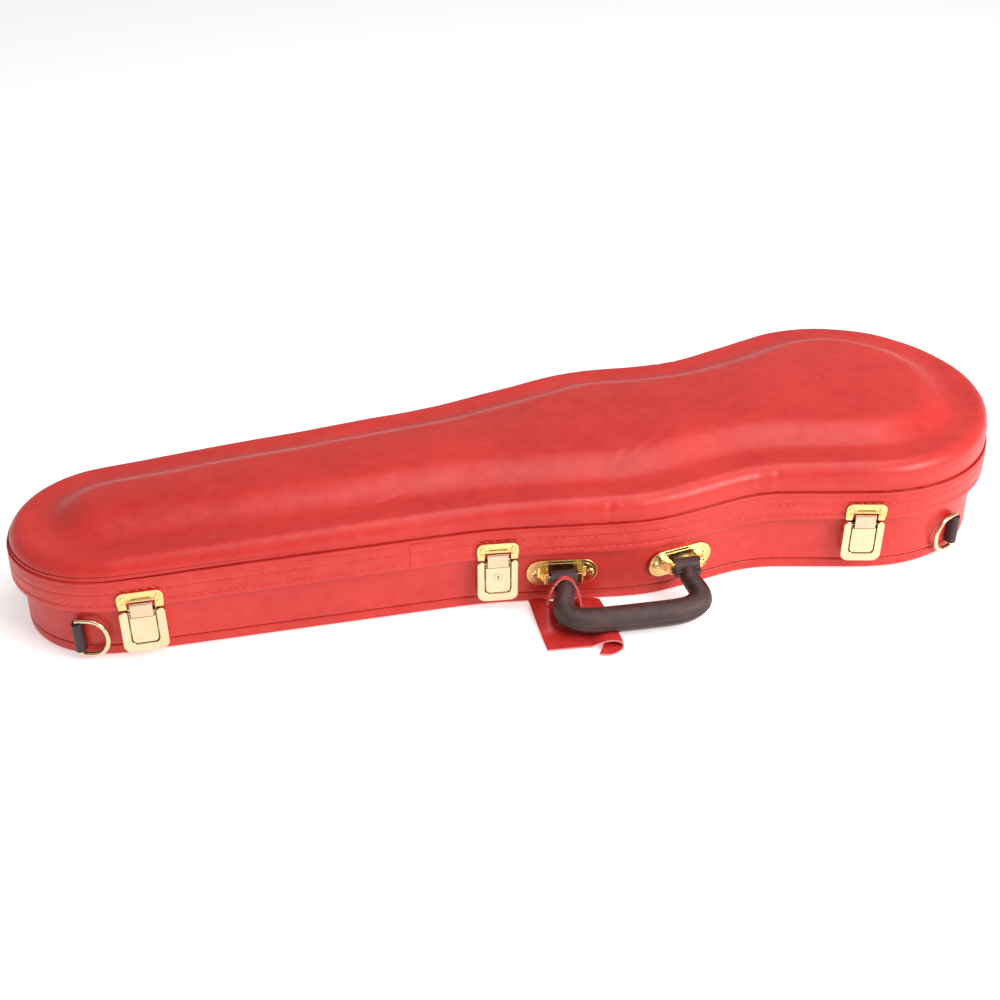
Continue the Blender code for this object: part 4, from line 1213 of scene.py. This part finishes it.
def make_tag_loop():
    """The strip left round the tag's slot: it passes over the leg and carries the sheet."""
    line = smooth_line(TAG_ARCH, 8)
    lift = (line[:, 2] / line[:, 2].max()) ** 0.5
    width = 2.4 + 4.0 * (1 - lift)
    back = line + np.column_stack([0 * width, 0.9 * width, 0.4 * width * lift])
    middle = (line + back) / 2
    points = in_frame(np.concatenate([line, middle, back]), TAG)
    strip = piece_from("tag_loop", points, grid_faces(3, len(line), wrap=False),
                       [TAG_RED, CUT_EDGE], None, ["tag_strap"])
    solidify(strip, 1.7)
    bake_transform(strip)


# ---- strap rings ----------------------------------------------------------------------------
def make_d_ring(index):
    """A wire ring, straight where its strap holds it and bowed outside."""
    name = f"d_ring_{index}"
    local = wall_frame(name)
    local.translation = Vector(JOINTS[f"{name}_swing"]["pos_m"]) / MM
    side = 1 if index == 1 else -1
    half, wide = 14.6, 9.0
    bow = [(wide + 12.0 * math.cos(a), half * math.sin(a))
           for a in np.radians(np.linspace(90, -90, 15))]
    corner = 1.6
    flat = [(corner, half), *bow[1:-1], (corner, -half), (0.3, -half + 0.4), (0.0, -half + corner),
            (0.0, -5.0), (0.0, 5.0), (0.0, half - corner), (0.3, half - 0.4)]
    curve = bpy.data.curves.new(f"{name}_wire", "CURVE")
    curve.dimensions = "3D"
    curve.bevel_depth = 1.8 * MM
    curve.bevel_resolution = 8
    spline = curve.splines.new("BEZIER")
    spline.bezier_points.add(len(flat) - 1)
    spline.use_cyclic_u = True
    for target, (a, b) in zip(spline.bezier_points, flat):
        target.co = (local @ Vector((side * a, 0, b))) * MM
        target.handle_left_type = target.handle_right_type = "AUTO"
    curve.resolution_u = 10
    curve.materials.append(BRASS)
    wire = bpy.data.objects.new(f"{name}_wire", curve)
    bpy.context.scene.collection.objects.link(wire)
    dress(wire, name, [name])
    make_ring_loop(index, local)


def make_ring_loop(index, local):
    """The strap that holds a ring's straight side, folded round it and sewn to the wall."""
    node = f"d_ring_{index}_loop"
    low, high = local_box(node, local)
    fold = smooth_line([(high.y, -3.5), (1.5, -3.8), (-1.5, -3.6), (-3.4, -2.2), (-4.0, 0.0),
                        (-3.4, 2.2), (-1.5, 3.6), (1.5, 3.8), (high.y, 3.5)], 5)
    strap = shaped(prism([(x, y) for y, x in fold], low.z, high.z, "z"),
                   [prism(circle(0, 0, 2.05), low.z - 5, high.z + 5, "z")], bevel=0.6)
    assemble(f"{node}_strap", [strap], local, LOOP_LEATHER, "base", [node],
             angle=50)


# ---- rear hinges ----------------------------------------------------------------------------
def make_hinge(index, hinge_axis):
    """A butt hinge: a leaf on the wall, a leaf on the lid's band and the pin through both."""
    name = f"hinge_{index}"
    low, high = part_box(f"{name}_pin")
    local = frame_of(hinge_axis, (low + high) / 2 / MM)
    body_low, body_high = local_box(f"{name}_body_leaf", local)
    lid_low, lid_high = local_box(f"{name}_lid_leaf", local)
    half, knuckle, gap = 15.0, 2.6, 5.05
    wall = body_high.y
    leaf = rounded(-half, half, body_low.z, -4.4, (3, 3, 0.3, 0.3))
    shapes = [shaped(prism(leaf, wall - 1.2, wall), bevel=0.35),
              shaped(block((-half, 0.5, -5.4), (half, wall - 0.2, -4.2)), bevel=0.3)]
    for start, stop in ((-half, -gap - 0.25), (gap + 0.25, half)):
        shapes.append(shaped(prism(circle(0, 0, knuckle), start, stop, "x"),
                             [prism(circle(0, 0, 1.4), -20, 20, "x")], bevel=0.25))
        shapes.append(shaped(block((start, -1.5, -5.0), (stop, 1.5, -1.0)), bevel=0.3))
    assemble(f"{name}_lower_leaf", shapes, local, BRASS, "base", [f"{name}_body_leaf"])
    upper = rounded(-half, half, lid_low.z + 4, lid_high.z, (0.3, 0.3, 3, 3))
    lid_face = lid_high.y
    shapes = [shaped(prism(upper, lid_face - 1.2, lid_face), bevel=0.35),
              shaped(prism(circle(0, 0, knuckle), -gap + 0.3, gap - 0.3, "x"),
                     [prism(circle(0, 0, 1.4), -20, 20, "x")], bevel=0.25),
              shaped(block((-gap + 0.3, -1.0, 0.5), (gap - 0.3, lid_face, 5)), bevel=0.3)]
    assemble(f"{name}_upper_leaf", shapes, local, BRASS, "lid", [f"{name}_lid_leaf"])
    pin_low, pin_high = local_box(f"{name}_pin", local)
    radius = pin_high.z
    rod = turned(((pin_low.x, radius * 0.6), (pin_low.x + 0.3, radius), (pin_high.x - 0.3, radius),
                  (pin_high.x, radius * 0.6)), along="x", sides=24)
    assemble(f"{name}_rod", [shaped(rod)], local, BRASS, "base", [f"{name}_pin"])


# ---- inside ---------------------------------------------------------------------------------
def soft_copy(name, node, material, body, slot, voxel, smooth, inflate=0.0, fill=None):
    """A rounded copy of a CAD solid. Where inflate is set, cloth pressure swells it."""
    source = frame["nodes"][node]
    obj = bpy.data.objects.new(name, source.data.copy())
    bpy.context.scene.collection.objects.link(obj)
    obj.data.materials.clear()
    obj.data.materials.append(material)
    remesh = obj.modifiers.new("remesh", "REMESH")
    remesh.mode = "VOXEL"
    remesh.voxel_size = voxel * MM
    soften = obj.modifiers.new("soften", "SMOOTH")
    soften.factor = 0.5
    soften.iterations = smooth
    apply_modifiers(obj)
    if inflate:
        swell(obj, inflate)
    obj.data.shade_smooth()
    dress(obj, body, [node])


def swell(obj, most):
    """Cloth under pressure, then each point kept within most of where it started."""
    before = [vertex.co.copy() for vertex in obj.data.vertices]
    cloth = obj.modifiers.new("cloth", "CLOTH")
    cloth.settings.use_pressure = True
    cloth.settings.uniform_pressure_force = 4.0
    cloth.settings.effector_weights.gravity = 0.0
    scene = bpy.context.scene
    for step in range(1, 13):
        scene.frame_set(step)
    apply_modifiers(obj)
    scene.frame_set(1)
    for vertex, start in zip(obj.data.vertices, before):
        move = vertex.co - start
        if move.length > most * MM:
            vertex.co = start + move.normalized() * most * MM


# Piece, CAD node, material, body, slot, voxel, smoothing passes, swelling and fill.
SOFT_PIECES = (
    ("bed_cover", "instrument_bed", BED_PLUSH, "base", "plush", 3.0, 5, 0.0, 0.9),
    ("neck_rest", "neck_cradle", BED_PLUSH, "base", "padding", 1.6, 4, 0.8, 0.8),
    ("lower_pad", "lower_block_pad", BED_PLUSH, "base", "padding", 1.5, 4, 1.0, 0.8),
    ("upper_pad", "upper_block_pad", BED_PLUSH, "base", "padding", 1.5, 4, 1.0, 0.8),
    ("accessory_walls", "accessory_box", BED_PLUSH, "base", "padding", 0.9, 2, 0.0, None),
    ("accessory_cover", "accessory_lid", BED_PLUSH, "accessory_lid", "plush", 0.8, 2, 0.0, None),
    ("accessory_pull", "accessory_tab", TRIM_LEATHER, "accessory_lid", "dark_leather", 0.4, 2, 0.0,
     None),
    ("neck_band", "neck_strap", TRIM_LEATHER, "base", "dark_leather", 0.4, 2, 0.0, None),
)


def make_inside():
    """The fitted interior, the bow holders and the shells' own materials."""
    for piece in SOFT_PIECES:
        soft_copy(*piece)
    for side in ("left", "right"):
        holder = f"bow_holder_{side}"
        for piece, node, material, body, slot, voxel, smooth in (
            ("bow_pocket", "bow_tip_pocket", LINING_PLUSH, "lid", "plush", 0.8, 2),
            ("bow_toggle", "bow_holder", TRIM_LEATHER, holder, "dark_leather", 0.5, 3),
            ("bow_boss", "bow_holder_base", TRIM_LEATHER, "lid", "dark_leather", 0.6, 3),
        ):
            soft_copy(f"{piece}_{side}", f"{node}_{side}", material, body, slot, voxel, smooth)
    for node, material in (("lid_lining", LINING_PLUSH), ("lid_shell_front", LEATHER_RED),
                           ("lid_shell_rear", LEATHER_RED), ("body_shell_front", PLY),
                           ("body_shell_rear", PLY)):
        obj = frame["nodes"][node]
        obj.data.materials.clear()
        obj.data.materials.append(material)


# ---- stage ----------------------------------------------------------------------------------
FLOOR_REACH = 9.0  # metres
FLOOR_GLOW = 0.42
SKY_GLOW = 0.42


def make_stage():
    """A pale floor that glows faintly, so that it stays as light as the backdrop."""
    mesh = bpy.data.meshes.new("studio_floor")
    signs = ((-1, -1), (1, -1), (1, 1), (-1, 1))
    corners = [(x * FLOOR_REACH, y * FLOOR_REACH, 0) for x, y in signs]
    mesh.from_pydata(corners, [], [(0, 1, 2, 3)])
    floor = bpy.data.objects.new("studio_floor", mesh)
    bpy.context.scene.collection.objects.link(floor)
    floor.location.z = -0.0004
    shader = Shader("studio_floor")
    mesh.materials.append(shader.finish(rgb(0.88, 0.88, 0.88), 0.8, Specular_IOR_Level=0.1,
                                         Emission_Strength=FLOOR_GLOW))


def add_light(name, place, target, size, energy):
    light = bpy.data.lights.new(name, "AREA")
    light.shape = "RECTANGLE"
    light.size, light.size_y = size
    light.energy = energy
    obj = bpy.data.objects.new(name, light)
    bpy.context.scene.collection.objects.link(obj)
    obj.location = place
    obj.rotation_euler = (Vector(target) - Vector(place)).to_track_quat("-Z", "Y").to_euler()


def make_lights():
    """An even sky, a key light in front and a wide light above."""
    world = bpy.data.worlds.new("studio")
    bpy.context.scene.world = world
    world.use_nodes = True
    background = world.node_tree.nodes["Background"]
    background.inputs["Color"].default_value = rgb(1.0, 1.0, 1.0)
    background.inputs["Strength"].default_value = SKY_GLOW
    add_light("key", (1.3, -1.5, 1.2), (0.1, 0, 0.05), (1.2, 0.9), 40)
    add_light("top", (0.3, -0.2, 1.7), (0.05, 0, 0.05), (1.6, 1.0), 16)
    bpy.context.scene.view_settings.view_transform = "Standard"


CAMERA_AZIMUTH = math.radians(-15.99)
CAMERA_ELEVATION = math.radians(31.98)
CAMERA_DISTANCE = 1148.0
CAMERA_AIM = (-17.7, 29.8)
LENS = 50.3


def make_camera():
    """The photograph's viewpoint: aimed a little beside the frame's origin."""
    back = Vector((math.sin(CAMERA_AZIMUTH) * math.cos(CAMERA_ELEVATION),
                   -math.cos(CAMERA_AZIMUTH) * math.cos(CAMERA_ELEVATION),
                   math.sin(CAMERA_ELEVATION)))
    right = Vector((math.cos(CAMERA_AZIMUTH), math.sin(CAMERA_AZIMUTH), 0))
    up = back.cross(right)
    data = bpy.data.cameras.new("camera")
    data.lens = LENS
    data.clip_end = 100
    camera = bpy.data.objects.new("camera", data)
    bpy.context.scene.collection.objects.link(camera)
    place = back * CAMERA_DISTANCE + right * CAMERA_AIM[0] + up * CAMERA_AIM[1]
    turn = Matrix((right, up, back)).transposed().to_4x4()
    camera.matrix_world = Matrix.Translation(place * MM) @ turn
    bpy.context.scene.camera = camera


def main():
    make_camera()
    make_lid_cover()
    make_band()
    make_side_leather()
    make_bottom_leather()
    make_rim()
    for index in (1, 2, 3):
        make_latch(index)
    for name, side in (("left", -1), ("right", 1)):
        make_handle_plate(name)
        make_loop(name, side * HALF_SPAN)
    make_grip()
    make_tag()
    for index in (1, 2):
        make_d_ring(index)
    hinge_axis = Vector(JOINTS["lid_hinge"]["axis"])
    for index in (1, 2):
        make_hinge(index, hinge_axis)
    make_inside()
    make_stage()
    make_lights()


main()
